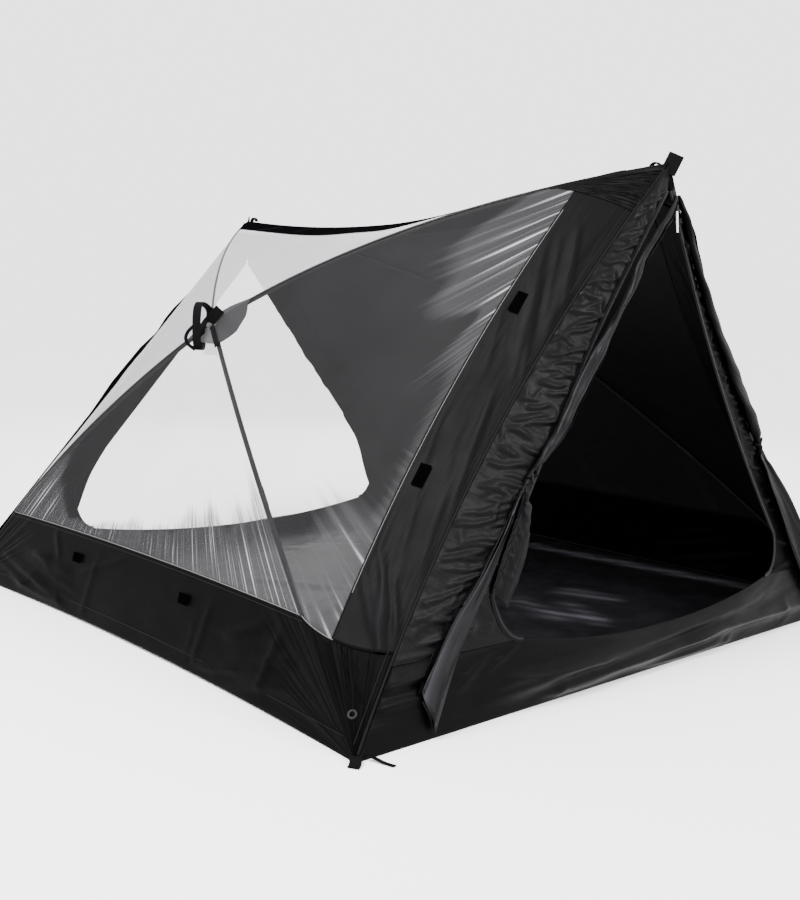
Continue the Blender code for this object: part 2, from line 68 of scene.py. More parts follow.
# The sky is a shade brighter overhead. Cycles doesn't sample an even sky as a light, and the thin
# netting would then come out speckled.
SKY = 2.8
SKY_RISE = 0.05
sky = bpy.data.worlds.new("sky")
sky.use_nodes = True
sky_nodes = sky.node_tree.nodes
sky_direction = sky_nodes.new("ShaderNodeTexCoord")
sky_height = sky_nodes.new("ShaderNodeSeparateXYZ")
sky_strength = sky_nodes.new("ShaderNodeMath")
sky_strength.operation = "MULTIPLY_ADD"
sky_strength.inputs[1].default_value = SKY_RISE
sky_strength.inputs[2].default_value = SKY
sky.node_tree.links.new(sky_direction.outputs["Generated"], sky_height.inputs[0])
sky.node_tree.links.new(sky_height.outputs["Z"], sky_strength.inputs[0])
sky.node_tree.links.new(sky_strength.outputs[0], sky_nodes["Background"].inputs["Strength"])
sky_nodes["Background"].inputs["Color"].default_value = (1, 1, 1, 1)
bpy.context.scene.world = sky

# Name, place, target, size in metres and power in watts
LAMPS = [
    ("lamp_above", (-2.6, -0.6, 3.6), (-0.5, 0.0, 0.6), 1.7, 300),
    ("lamp_front", (0.6, -4.4, 2.4), (0.1, -0.8, 0.4), 1.3, 130),
    ("lamp_behind", (3.2, 3.4, 2.8), (0.4, 0.4, 0.5), 1.8, 120),
]
for name, place, target, size, power in LAMPS:
    lamp_data = bpy.data.lights.new(name, "AREA")
    lamp_data.size = size
    lamp_data.energy = power
    lamp = put_object(name, lamp_data)
    lamp.location = place
    lamp.rotation_euler = (Vector(target) - Vector(place)).to_track_quat("-Z", "Y").to_euler()


class Signal:
    """A number that varies over a surface. Arithmetic on it adds Math nodes."""

    def __init__(self, finish, socket):
        self.finish = finish
        self.socket = socket

    def run(self, operation, *others):
        sockets = dict(enumerate((self, *others)))
        return self.finish.node("ShaderNodeMath", {"operation": operation}, sockets)

    def __add__(self, other):
        return self.run("ADD", other)

    def __sub__(self, other):
        return self.run("SUBTRACT", other)

    def __rsub__(self, other):
        return (self * -1) + other

    def __mul__(self, other):
        return self.run("MULTIPLY", other)

    def band(self, low, high):
        """0 below low, rising to 1 at high."""
        return ((self - low) * (1 / (high - low))).run("MAXIMUM", 0).run("MINIMUM", 1)

    __radd__ = __add__
    __rmul__ = __mul__


class Finish:
    """A material: nodes that end in one Principled shader."""

    def __init__(self, name):
        self.material = bpy.data.materials.new(name)
        self.material.use_nodes = True
        self.tree = self.material.node_tree
        self.shader = self.tree.nodes["Principled BSDF"]

    def node(self, kind, settings=None, sockets=None, output=0):
        made = self.tree.nodes.new(kind)
        for key, value in (settings or {}).items():
            setattr(made, key, value)
        for key, value in (sockets or {}).items():
            self.put(made.inputs[key], value)
        return Signal(self, made.outputs[output])

    def put(self, socket, value):
        if isinstance(value, Signal):
            self.tree.links.new(value.socket, socket)
        else:
            socket.default_value = value

    def surface(self, sockets):
        for key, value in sockets.items():
            self.put(self.shader.inputs[key], value)

    def blend(self, factor, first, second):
        return self.node("ShaderNodeMix", {"data_type": "RGBA"}, {0: factor, 6: first, 7: second}, 2)

    def noise(self, scale, detail=3, rough=0.5, stretch=(1, 1, 1), place=None):
        place = place or self.node("ShaderNodeTexCoord", output=3)
        wide = self.node("ShaderNodeVectorMath", {"operation": "MULTIPLY"}, {0: place, 1: stretch})
        sockets = {"Vector": wide, "Scale": scale, "Detail": detail, "Roughness": rough}
        return self.node("ShaderNodeTexNoise", None, sockets)

    def bump(self, height, distance, under=None):
        sockets = {"Height": height, "Distance": distance}
        if under is not None:
            sockets["Normal"] = under
        return self.node("ShaderNodeBump", None, sockets)


def grey(value, cool=0.0):
    """A neutral shade, or with cool above 0 one that leans a little to blue."""
    return (value * (1 - cool / 2), value * (1 - cool), value * (1 + cool), 1)


studio_finish = Finish("studio_floor")
studio_finish.surface({"Base Color": grey(0.99), "Roughness": 0.9, "Specular IOR Level": 0.1})
studio_mesh = bpy.data.meshes.new("studio_floor")
FLOOR_REACH = 45
FLOOR_DROP = 0.0005
studio_corners = [(x * FLOOR_REACH, y * FLOOR_REACH, 0) for x, y in ((-1, -1), (1, -1), (1, 1), (-1, 1))]
studio_mesh.from_pydata(studio_corners, [], [(0, 1, 2, 3)])
studio_mesh.materials.append(studio_finish.material)
studio_floor = put_object("studio_floor", studio_mesh)
studio_floor.location.z = -FLOOR_DROP
# The floor only shows and takes shadows. The sky below it, which is as bright, lights the tent from
# underneath with less noise than light off the floor would.
studio_floor.visible_diffuse = False
studio_floor.visible_glossy = False
studio_floor.visible_shadow = False


# Poles
# Eight thin glass-fibre poles, four from each hub, sprung outward so that they bow and stretch the
# side walls. Each is two lengths that meet in a metal ferrule, and it runs close under the cloth.

def vec(x, y, z):
    return np.array((x, y, z), dtype=float)


def unit(v):
    return v / np.linalg.norm(v, axis=-1, keepdims=True)


def bowed(start, end, height, direction):
    """A bowed line from start to end, bulging by this height at its middle."""
    def line(s):
        s = np.asarray(s, dtype=float)[..., None]
        return start + s * (end - start) + 4 * height * s * (1 - s) * direction
    return line


# The left side is worked out, and the right one is its mirror image.
SIDES = {"left": vec(1, 1, 1), "right": vec(-1, 1, 1)}
UP = vec(0, 0, 1)
HUB = vec(-0.690, 0.110, 0.875)
FRONT_TOP = vec(0, -0.957, 1.308)
REAR_TOP = vec(0, 0.953, 1.246)
FRONT_FOOT = vec(-1.05, -1.015, 0.0009)
REAR_FOOT = vec(-1.065, 1.015, 0.0009)
WALL_OUT = -unit(np.cross(REAR_FOOT - FRONT_FOOT, FRONT_TOP - FRONT_FOOT))
if WALL_OUT[0] > 0:
    WALL_OUT = -WALL_OUT

POLE_LINES = {
    "front_peak": bowed(HUB, FRONT_TOP, 0.078, WALL_OUT),
    "front_foot": bowed(HUB, FRONT_FOOT, 0.036, WALL_OUT),
    "rear_foot": bowed(HUB, REAR_FOOT, 0.056, WALL_OUT),
    "rear_peak": bowed(HUB, REAR_TOP, 0.046, WALL_OUT),
}
RIDGE = bowed(REAR_TOP, FRONT_TOP, 0.076, -UP)
FRONT_EDGE = bowed(FRONT_TOP, FRONT_FOOT, 0.094, vec(0, 1, 0))
REAR_EDGE = bowed(REAR_FOOT, REAR_TOP, 0, UP)
FLOOR_EDGE = bowed(FRONT_FOOT, REAR_FOOT, 1, vec(0.036, 0, 0.006))


def facet(pole_a, pole_b, edge):
    """The wall between two poles: s runs from the hub to the edge, t from pole_a to pole_b."""
    a, b = POLE_LINES[pole_a], POLE_LINES[pole_b]

    def surface(s, t):
        s, t = np.broadcast_arrays(np.asarray(s, dtype=float), np.asarray(t, dtype=float))
        share = t[..., None]
        straight = (1 - share) * a(1) + share * b(1)
        return (1 - share) * a(s) + share * b(s) + (s * s)[..., None] * (edge(t) - straight)
    return surface


UPPER = facet("rear_peak", "front_peak", RIDGE)
FRONT = facet("front_peak", "front_foot", FRONT_EDGE)
LOWER = facet("front_foot", "rear_foot", FLOOR_EDGE)
REAR = facet("rear_foot", "rear_peak", REAR_EDGE)
# The two facets beside each pole: the facet, the t of the pole on it and the way of t into it
BESIDE = {
    "front_peak": ((UPPER, 1, -1), (FRONT, 0, 1)),
    "front_foot": ((FRONT, 1, -1), (LOWER, 0, 1)),
    "rear_foot": ((LOWER, 1, -1), (REAR, 0, 1)),
    "rear_peak": ((REAR, 1, -1), (UPPER, 0, 1)),
}


def facet_normal(surface, s, t, side):
    here = surface(s, t)
    normal = unit(np.cross(surface(s + 0.01, t) - here, surface(s, t + side * 0.05) - here))
    facing = np.sign(normal @ WALL_OUT)[..., None]
    return normal * facing


def fold_normals(end, s):
    return [facet_normal(f, s, t, side) for f, t, side in BESIDE[end]]


def under_fold(end, s, depth):
    """Points below the fold over a pole, this deep under the cloth on both of its sides."""
    first, second = fold_normals(end, s)
    middle = unit(first + second)
    lean = (first * middle).sum(axis=-1, keepdims=True)
    return POLE_LINES[end](s) - middle * depth / lean


def round_bar(name, path, radius, finish):
    curve = bpy.data.curves.new(name, "CURVE")
    curve.dimensions = "3D"
    spline = curve.splines.new("POLY")
    spline.points.add(len(path) - 1)
    for target, p in zip(spline.points, path):
        target.co = (*p, 1)
    curve.bevel_depth = radius
    curve.bevel_resolution = 4
    curve.use_fill_caps = True
    curve.materials.append(finish.material)
    made = put_object(name, curve)
    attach(made, "root")
    return made


fibre = Finish("pole_fibre")
grain = fibre.noise(220, 4, 0.6, (1, 1, 0.2))
fibre.surface({
    "Base Color": fibre.blend(grain, grey(0.006), grey(0.013)),
    "Roughness": grain * 0.15 + 0.34,
    "Specular IOR Level": 0.06,
    "Normal": fibre.bump(grain, 0.0002),
})
ferrule_metal = Finish("ferrule_metal")
scratch = ferrule_metal.noise(300, 3, 0.6, (0.2, 1, 1))
ferrule_metal.surface({
    "Base Color": ferrule_metal.blend(scratch, grey(0.010), grey(0.022)),
    "Metallic": 0.6,
    "Roughness": scratch * 0.2 + 0.35,
    "Specular IOR Level": 0.1,
})

POLE_RADIUS = 0.0055
POLE_DEPTH = 0.0073
POLE_START = 0.026
POLE_STOPS = {"front_peak": 0.965, "front_foot": 0.975, "rear_foot": 0.975, "rear_peak": 0.965}
FERRULE = 0.045
FERRULE_RADIUS = 0.0065
for side, flip in SIDES.items():
    for end, stop in POLE_STOPS.items():
        places = np.linspace(POLE_START, stop, 48)
        pole = round_bar(f"{side}_pole_{end}_rod", under_fold(end, places, POLE_DEPTH) * flip,
                         POLE_RADIUS, fibre)
        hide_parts(f"{side}_pole_{end}")
        middle = np.linspace(0.5 - FERRULE / 2, 0.5 + FERRULE / 2, 5)
        sleeve = round_bar(f"{side}_pole_{end}_ferrule", under_fold(end, middle, POLE_DEPTH) * flip,
                           FERRULE_RADIUS, ferrule_metal)


# Hubs
# A round moulded hub sits in an opening in the middle of each side wall and holds the four poles in
# sockets. A stepped cap is screwed down on its outer face, over the end of the pull strap.

class Shape:
    """Faces gathered from rings of points, made into one mesh."""

    def __init__(self):
        self.points = []
        self.faces = []

    def add_rings(self, rings, loop=False):
        base = len(self.points)
        count = len(rings[0])
        for ring in rings:
            self.points.extend(tuple(p) for p in ring)
        turns = len(rings) if loop else len(rings) - 1
        for k in range(turns):
            here = base + k * count
            following = base + ((k + 1) % len(rings)) * count
            for j in range(count):
                n = (j + 1) % count
                self.faces.append((here + j, here + n, following + n, following + j))
        if not loop:
            self.faces.append(tuple(base + j for j in reversed(range(count))))
            self.faces.append(tuple(base + (len(rings) - 1) * count + j for j in range(count)))

    def make(self, name, finish, smooth=True):
        mesh = bpy.data.meshes.new(name)
        mesh.from_pydata(self.points, [], self.faces)
        mesh.validate()
        mesh.materials.append(finish.material)
        if smooth:
            mesh.shade_smooth()
            mesh.set_sharp_from_angle(angle=math.radians(38))
        made = put_object(name, mesh)
        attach(made, "root")
        return made


def sweep(path, wide, deep, sides=12, square=1.0):
    """Rings along a path, with half axes wide and deep. A low square value gives flat sides."""
    turn = np.linspace(0, math.tau, sides, endpoint=False) + math.pi / sides
    c, s = np.cos(turn), np.sin(turn)
    c, s = np.sign(c) * np.abs(c) ** square, np.sign(s) * np.abs(s) ** square
    return path[:, None] + wide[:, None] * c[:, None] + deep[:, None] * s[:, None]


def strap(name, path, across, width, thickness, finish, loop=False, square=0.35, sides=16):
    """Flat webbing or tape along a path, with its width along the direction across."""
    path = np.asarray(path)
    if loop:
        run = unit(np.roll(path, -1, axis=0) - np.roll(path, 1, axis=0))
    else:
        run = unit(np.gradient(path, axis=0))
    wide = np.broadcast_to(np.asarray(across, dtype=float), path.shape)
    wide = unit(wide - (wide * run).sum(axis=-1, keepdims=True) * run)
    deep = np.cross(wide, run)
    shape = Shape()
    shape.add_rings(sweep(path, wide * width / 2, deep * thickness / 2, sides, square), loop)
    return shape.make(name, finish)


moulded = Finish("moulded_plastic")
pebble = moulded.noise(900, 2)
moulded.surface({
    "Base Color": moulded.blend(moulded.noise(40), grey(0.070), grey(0.105)),
    "Roughness": moulded.noise(60) * 0.15 + 0.40,
    "Specular IOR Level": 0.20,
    "Normal": moulded.bump(pebble, 0.0003),
})

# How far out along the wall's normal, and the radius there
HUB_PROFILE = [(-0.017, 0.024), (-0.0155, 0.0265), (-0.012, 0.0300), (0.006, 0.0300), (0.008, 0.0288),
               (0.0085, 0.0235), (0.0118, 0.0225), (0.013, 0.0205), (0.013, 0.0110), (0.0118, 0.0100),
               (0.0118, 0.0065), (0.0128, 0.0055), (0.0128, 0.0012)]
SOCKET_PLACES = np.array((0.016, 0.024, 0.036, 0.040))
SOCKET_RADII = np.array((0.0088, 0.0088, 0.0080, 0.0068))[:, None]
hub_across = unit(np.cross(WALL_OUT, UP))
hub_upward = np.cross(hub_across, WALL_OUT)
hub_centre = HUB - POLE_DEPTH * WALL_OUT
for side, flip in SIDES.items():
    shape = Shape()
    path = np.array([hub_centre + depth * WALL_OUT for depth, _ in HUB_PROFILE])
    wide = np.array([hub_across * radius for _, radius in HUB_PROFILE])
    deep = np.array([hub_upward * radius for _, radius in HUB_PROFILE])
    shape.add_rings(sweep(path, wide, deep, 40) * flip)
    for end in POLE_LINES:
        axis = under_fold(end, SOCKET_PLACES, POLE_DEPTH)
        run = unit(axis[-1] - axis[0])
        wide = unit(np.cross(run, WALL_OUT)) * SOCKET_RADII
        deep = unit(np.cross(run, wide)) * SOCKET_RADII
        shape.add_rings(sweep(axis, wide, deep, 20) * flip)
    hub_piece = shape.make(f"{side}_hub_body", moulded)
    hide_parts(f"{side}_hub")


# Groundsheet
# A rectangle of coated cloth that covers the whole floor. It is slack between the four corners, so
# it lies in long shallow folds, with painted highlights where the coating would catch the light.

def smooth(x):
    x = np.clip(x, 0, 1)
    return x * x * (3 - 2 * x)


def ridge_of(points, start, end, width, height, fade=0.3):
    """How far a fold along the line from start to end lifts each point."""
    line = end - start
    along = ((points - start) @ line) / (line @ line)
    away = np.linalg.norm(points - start - along[..., None] * line, axis=-1)
    ends = smooth(along / fade) * smooth((1 - along) / fade)
    return height * np.exp(-(away / width) ** 2) * ends


def cut_area(points):
    """The area of a grid of points, in square metres."""
    a, b = points[1:, :-1] - points[:-1, :-1], points[:-1, 1:] - points[:-1, :-1]
    c, d = points[:-1, 1:] - points[1:, 1:], points[1:, :-1] - points[1:, 1:]
    halves = np.linalg.norm(np.cross(a, b), axis=-1) + np.linalg.norm(np.cross(c, d), axis=-1)
    return float(halves.sum() / 2)


def cloth(name, points, outward, lift, thickness, finish, shine=None, span=None):
    """A sheet over a grid of points, lifted outward into folds and given its thickness inward."""
    normal = np.cross(np.gradient(points, axis=0), np.gradient(points, axis=1))
    size = np.linalg.norm(normal, axis=-1)
    normal[size < 1e-10] = normal.mean(axis=(0, 1))
    normal = unit(normal)
    if normal.sum(axis=(0, 1)) @ outward < 0:
        points, lift = points[::-1], lift[::-1]
        shine = shine[::-1] if shine is not None else None
        span = span[::-1] if span is not None else None
        normal = -normal[::-1]
    raised = points + normal * lift[..., None]
    rows, columns = points.shape[:2]
    number = np.arange(rows * columns).reshape(rows, columns)
    corners = (number[:-1, :-1], number[1:, :-1], number[1:, 1:], number[:-1, 1:])
    faces = np.stack(corners, axis=-1).reshape(-1, 4)
    mesh = bpy.data.meshes.new(name)
    mesh.from_pydata(raised.reshape(-1, 3).tolist(), [], faces.tolist())
    steps = [np.linalg.norm(np.diff(points, axis=k), axis=-1) for k in (0, 1)]
    v = np.concatenate([np.zeros((1, columns)), np.cumsum(steps[0], axis=0)])
    u = np.concatenate([np.zeros((rows, 1)), np.cumsum(steps[1], axis=1)], axis=1)
    u -= u.mean(axis=1, keepdims=True)
    order = np.zeros(len(mesh.loops), dtype=np.int32)
    mesh.loops.foreach_get("vertex_index", order)
    cut = np.stack([u, v], axis=-1)
    for title, places in (("cut", cut), ("span", cut if span is None else span)):
        layer = mesh.uv_layers.new(name=title)
        layer.data.foreach_set("uv", places.reshape(-1, 2)[order].ravel())
    fold = mesh.attributes.new("fold", "FLOAT", "POINT")
    # The fold attribute marks where the finish paints highlights: the given shine, or else the fold tops.
    crest = shine if shine is not None else lift / max(float(np.abs(lift).max()), 1e-6)
    fold.data.foreach_set("value", np.clip(crest, 0, 1).ravel().astype(np.float32))
    grid = bmesh.new()
    grid.from_mesh(mesh)
    bmesh.ops.remove_doubles(grid, verts=grid.verts, dist=1e-5)
    grid.to_mesh(mesh)
    grid.free()
    mesh.materials.append(finish.material)
    mesh.shade_smooth()
    made = put_object(name, mesh)
    skin = made.modifiers.new("thickness", "SOLIDIFY")
    skin.thickness = thickness
    skin.offset = -1
    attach(made, "root")
    return made


def scatter_folds(rng, points, surface, count, start, end, spread, width, height):
    """Many small folds on a surface, each from near one place on it to near another."""
    lift = np.zeros(points.shape[:2])
    for _ in range(count):
        shift = rng.uniform(-1, 1, 2) * spread
        slip = rng.uniform(-1, 1, 2) * spread * 0.4
        a = surface(start[0] + shift[0], start[1] + shift[1])
        b = surface(end[0] + shift[0] + slip[0], end[1] + shift[1] + slip[1])
        size = rng.uniform(0.5, 1.0)
        lift += ridge_of(points, a, b, width * rng.uniform(0.7, 1.3), height * size)
    return lift


# How far the blacks lean to blue
COOL = 0.08
THREADS = 190
WEAVE_DEPTH = 0.00005


def woven(name, dark, light, rough, level, folds, fan=None):
    """Coated ripstop: a fine square grid in the weave, drawn folds, and fold tops painted paler as
    highlights.

    With fan, the cloth's span gives an angle and a distance, and creases fan out where it is marked."""
    made = Finish(name)
    cut = made.node("ShaderNodeUVMap", {"uv_map": "cut"})
    parts = [made.node("ShaderNodeSeparateXYZ", None, {0: cut}, k) for k in (0, 1)]
    threads = [(p * THREADS).run("FRACT").run("SUBTRACT", 0.5).run("ABSOLUTE") for p in parts]
    lines = threads[0].run("MAXIMUM", threads[1]).run("GREATER_THAN", 0.43)
    across, along, height = folds
    drawn = made.noise(1, 3, 0.45, (across, along, 1), cut)
    fine = made.noise(260, 2)
    broad = made.noise(9, 5, 0.6)
    crest = made.node("ShaderNodeAttribute", {"attribute_name": "fold"}, None, 2)
    creases = made.bump(drawn, height)
    if fan:
        span = made.node("ShaderNodeUVMap", {"uv_map": "span"})
        crest = made.noise(1, 2, 0.5, (fan, 2, 1), span).band(0.42, 0.62) * crest
        creases = made.bump(crest, 0.008, creases)
    made.surface({
        # Base colour: paler where the fold attribute marks fold tops, a painted highlight, and a little
        # paler at random.
        "Base Color": made.blend(crest * 0.85 + broad * 0.2, grey(dark, COOL), grey(light, COOL)),
        "Roughness": broad * 0.22 + fine * 0.05 + rough,
        "Specular IOR Level": level,
        "Normal": made.bump(lines * 0.5 + fine * 0.6, WEAVE_DEPTH, creases),
    })
    return made


FLOOR_CLOTH = 0.0008
GROUND_INSET = 0.0022
GROUND_GRID = 104
# Painted highlights where the coating would catch the light: from (x, y), to (x, y), width and strength
GLINTS = [((0.85, 0.40), (0.985, -0.85), 0.026, 2.2), ((0.90, 0.10), (0.94, -0.5), 0.040, 0.3),
          ((0.14, -0.44), (0.25, -0.68), 0.030, 0.5), ((0.40, -0.28), (0.47, -0.56), 0.045, 0.6),
          ((0.20, -0.26), (0.12, -0.62), 0.045, 0.4), ((0.32, -0.40), (0.16, -0.72), 0.035, 0.4)]
rng = np.random.default_rng(7)
ground_finish = woven("ground_cloth", 0.0003, 0.080, 0.24, 0.022, (3, 9, 0.004))
x_share, y_share = np.meshgrid(np.linspace(-1, 1, GROUND_GRID), np.linspace(0, 1, GROUND_GRID))
side_edge = FLOOR_EDGE(y_share)
ground = np.stack([-(side_edge[..., 0] + GROUND_INSET) * x_share,
                   side_edge[..., 1] * (1 - 2 * GROUND_INSET),
                   0.0012 + side_edge[..., 2] * np.abs(x_share) ** 16], axis=-1)
lift = np.zeros(ground.shape[:2])
for _ in range(34):
    start = vec(rng.uniform(-0.95, 0.95), rng.uniform(-0.95, 0.95), 0)
    heading = rng.normal(0.5, 0.7)
    length = rng.uniform(0.25, 0.95)
    end = start + length * vec(math.cos(heading), math.sin(heading), 0)
    lift += ridge_of(ground, start, end, rng.uniform(0.012, 0.034), rng.uniform(0.003, 0.009))
rim = np.minimum(1 - np.abs(x_share), 2 * np.minimum(y_share, 1 - y_share))
lift *= smooth(rim / 0.06)
shine = np.zeros(ground.shape[:2])
for start, end, width, strength in GLINTS:
    shine += ridge_of(ground, vec(*start, 0), vec(*end, 0), width, strength, 0.25)
shine = shine * (0.6 + 0.4 * np.sin(90 * ground[..., 0] + 40 * ground[..., 1]))
groundsheet = cloth("groundsheet", ground, UP, lift, FLOOR_CLOTH, ground_finish, shine)
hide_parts("floor")


# Sheer wall
# Four panels of fine sheer netting close the near side, one between each pair of poles. They are cut
# a little full and pulled tight by the poles, so small folds run in from the seams and the corners.

# Places on the facets, as shares of the way from the hub to the edge
S_HUB = 0.030
S_PEAK = 0.80
LOWER_BAND = 0.236
FRONT_BAND = 0.170


def edge_share(width, end_a, end_b):
    """The share at which a band of this width along an edge begins."""
    height = np.linalg.norm(np.cross(HUB - end_a, end_b - end_a)) / np.linalg.norm(end_b - end_a)
    return 1 - width / height


S_LOWER = float(edge_share(LOWER_BAND, FRONT_FOOT, REAR_FOOT))
S_FRONT = float(edge_share(FRONT_BAND, FRONT_TOP, FRONT_FOOT))


def past_peak(s):
    return np.maximum(0, s - S_PEAK) / (1 - S_PEAK)


def peak_on_ridge(s):
    """Where the front peak patch begins on the upper facet."""
    return 1 - 0.130 * past_peak(s)


def peak_on_edge(s):
    """Where it ends on the front facet."""
    return 0.090 * past_peak(s)


def corner_seam(s):
    """Where the lower band's fold round the ground corner begins."""
    return 1 - 0.145 * (np.maximum(0, s - S_LOWER) / (1 - S_LOWER)) ** 1.15


def panel_grid(surface, s_from, s_to, low, high, rows, columns):
    """A grid on a facet between two rows, with low and high giving the range of t on each row."""
    s = np.linspace(s_from, s_to, rows)[:, None] * np.ones((1, columns))
    step = np.linspace(0, 1, columns)[None, :]
    a, b = low(s), high(s)
    t = a + (b - a) * step
    return surface(s, t), s, t


def trim(s):
    """The small gap that a panel leaves at a seam."""
    return 0.0004 / np.maximum(s, 0.05)


def netting(name, dark, light, thin, thick, pulled):
    """Sheer netting: clear between its threads, denser where it is drawn into folds, and painted paler there
    as a highlight.
    """
    made = Finish(name)
    span = made.node("ShaderNodeUVMap", {"uv_map": "span"})
    pull = made.node("ShaderNodeAttribute", {"attribute_name": "fold"}, None, 2)
    drawn = made.noise(1, 2, 0.4, (58, 2.4, 1), span).band(0.47, 0.74)
    crest = drawn * pull
    gathered = crest.band(0.0, 0.30) * pulled + pull.band(0.10, 0.34) * 0.18
    cloudy = made.noise(5, 4, 0.55)
    made.surface({
        # Paler on the drawn folds: a painted highlight.
        "Base Color": made.blend(crest.band(0.30, 0.9), grey(dark, COOL / 3), grey(light, COOL / 4)),
        "Alpha": gathered + cloudy * (thick - thin) + thin,
        "Roughness": 0.5,
        "Specular IOR Level": 0.08,
        "Normal": made.bump(drawn * pull, 0.002),
    })
    return made


sheer = netting("sheer_netting", 0.048, 0.44, 0.09, 0.15, 0.36)
# The upper and rear panels take paler, denser copies of the netting; the paler colour is painted light, for
# the lamp above and the low angle they are seen at.
sheer_top_painted_light = netting("sheer_netting_top", 0.52, 0.80, 0.34, 0.44, 0.18)
sheer_rear_painted_light = netting("sheer_netting_rear", 0.50, 0.85, 0.32, 0.42, 0.22)


def near(value, centre, reach):
    """1 at the centre, falling to 0 at its reach."""
    return smooth(1 - np.abs(value - centre) / reach)


# How strongly each panel is drawn into folds at a place, and where the folds' noise is read there

def pull_upper(s, t):
    return 0.9 * near(s, S_FRONT, 0.35) * near(t, 0.9, 0.45) + 0.4 * near(s, S_FRONT, 0.12), t, s


def pull_front(s, t):
    """Folds fan out from the front peak, and rise from the ground corner."""
    away = S_FRONT - s
    root = (t - 0.25 * away) / (1 + 3.2 * away)
    length = 0.09 + 0.17 * near(root, 0.10, 0.18) + 0.04 * np.sin(40 * root)
    peak = smooth(1 - away / length) * smooth((0.46 - root) / 0.30) * 1.15
    corner = smooth(1 - away / 0.24) * smooth((t - 0.70) / 0.15) * 0.7
    return peak + corner + 0.25 * smooth(1 - away / 0.05), np.where(t < 0.6, root * 1.3, t), away


def pull_lower(s, t):
    """Folds stand up from the lower band."""
    away = S_LOWER - s
    length = np.interp(t, (0, 0.15, 0.33, 0.50, 0.66, 0.78, 0.86, 1),
                       (0.30, 0.26, 0.17, 0.11, 0.065, 0.045, 0.10, 0.38))
    length = length * (1 + 0.16 * np.sin(23 * t + 1) + 0.12 * np.sin(61 * t))
    strength = 0.62 + 0.30 * near(t, 0.1, 0.4) + 0.30 * near(t, 1, 0.2)
    return smooth((1 - away / length) * 1.3) * strength, t * 2.6, away


def pull_rear(s, t):
    edge = 0.6 * smooth(1 - (1 - s) / 0.16)
    return edge + 0.5 * near(t, 0.02, 0.16) * smooth((s - 0.5) / 0.3), t, s


PULLS = {"upper": pull_upper, "front": pull_front, "lower": pull_lower, "rear": pull_rear}

# Where folds lie on each facet: from (s, t), to (s, t), how many, how scattered, width, height
FOLDS = {
    "upper": [((0.84, 0.93), (0.30, 0.86), 8, 0.05, 0.014, 0.004),
              ((0.12, 0.45), (0.82, 0.35), 6, 0.20, 0.020, 0.003)],
    "front": [((0.845, 0.10), (0.35, 0.10), 6, 0.05, 0.015, 0.004),
              ((0.80, 0.60), (0.20, 0.62), 5, 0.20, 0.022, 0.003)],
    "lower": [((S_LOWER, 0.45), (0.38, 0.48), 12, 0.42, 0.016, 0.003)],
    "rear": [((0.95, 0.10), (0.35, 0.16), 6, 0.07, 0.016, 0.004),
             ((0.97, 0.50), (0.60, 0.50), 8, 0.40, 0.018, 0.003)],
}
# Each panel's facet, where it ends towards the edge, its two sides, its flat size and its poles
PANELS = {
    "upper": (UPPER, S_FRONT, trim, lambda s: peak_on_ridge(s) - trim(s), (1.92, 0.70),
              ("rear_peak", "front_peak")),
    "front": (FRONT, S_FRONT, lambda s: peak_on_edge(s) + trim(s), lambda s: corner_seam(s) - trim(s),
              (1.67, 1.00), ("front_peak", "front_foot")),
    "lower": (LOWER, S_LOWER, trim, lambda s: 1 - trim(s), (1.46, 0.68), ("front_foot", "rear_foot")),
    "rear": (REAR, 1.0, lambda s: 1 - corner_seam(s) + trim(s), lambda s: 1 - trim(s), (1.64, 0.95),
             ("rear_foot", "rear_peak")),
}


def ridge_band_edge(t):
    """Where the ridge band begins on the upper facet."""
    return 0.84 - 0.13 * np.sin(math.pi * t) ** 2 - 0.18 * near(t, 0.82, 0.36)


def pinned(s, t, low, high, s_to, reach=0.07):
    """1 in the open middle of a panel, falling to 0 along its seams."""
    sides = np.minimum(t - low, high - t) * s / reach
    ends = np.minimum(s - S_HUB, (s_to - s) * 2.5) / reach
    return smooth(sides) * smooth(ends)


NETTING = 0.0005
WALL_CLOTH = 0.0008
NETTING_GRID = 103


def wall_panel(side, kind, title, finish, thickness, fullness, count, seed):
    surface, s_to, low, high, flat, poles = PANELS[kind]
    points, s, t = panel_grid(surface, S_HUB, s_to - 0.0006, low, high, count, count)
    rng = np.random.default_rng(seed)
    lift = np.zeros(points.shape[:2])
    for start, end, folds, spread, width, height in FOLDS[kind]:
        lift += scatter_folds(rng, points, surface, folds, start, end, spread, width, height)
    lift *= pinned(s, t, low(s), high(s), s_to) * fullness
    if kind == "upper":
        lift *= smooth((ridge_band_edge(t) - s) / 0.05)
    flip = SIDES[side]
    name = f"{side}_{title}_{kind}_cloth"
    pull, u, v = PULLS[kind](s, t)
    pull = pull if side == "left" else lift / 0.01
    piece = cloth(name, points * flip, WALL_OUT * flip, lift, thickness, finish, pull,
                  np.stack([u, v], axis=-1))
    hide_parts(f"{side}_{title}_{kind}")
    cut_area(points)
    [f"{side}_pole_{end}" for end in poles]
    return piece


for k, kind in enumerate(PANELS):
    finish = {"upper": sheer_top_painted_light, "rear": sheer_rear_painted_light}.get(kind, sheer)
    panel = wall_panel("left", kind, "mesh", finish, NETTING, 1.0, NETTING_GRID, 20 + k)


# Covered wall
# On the far side a solid cover of coated black cloth is fastened over the netting, so that no light
# comes through. It follows the same four facets and creases along the poles.

COVER_GRID = 70
COVER_FULLNESS = 1.2
cover_finish = woven("cover_cloth", 0.0038, 0.0086, 0.38, 0.035, (5, 5, 0.003))
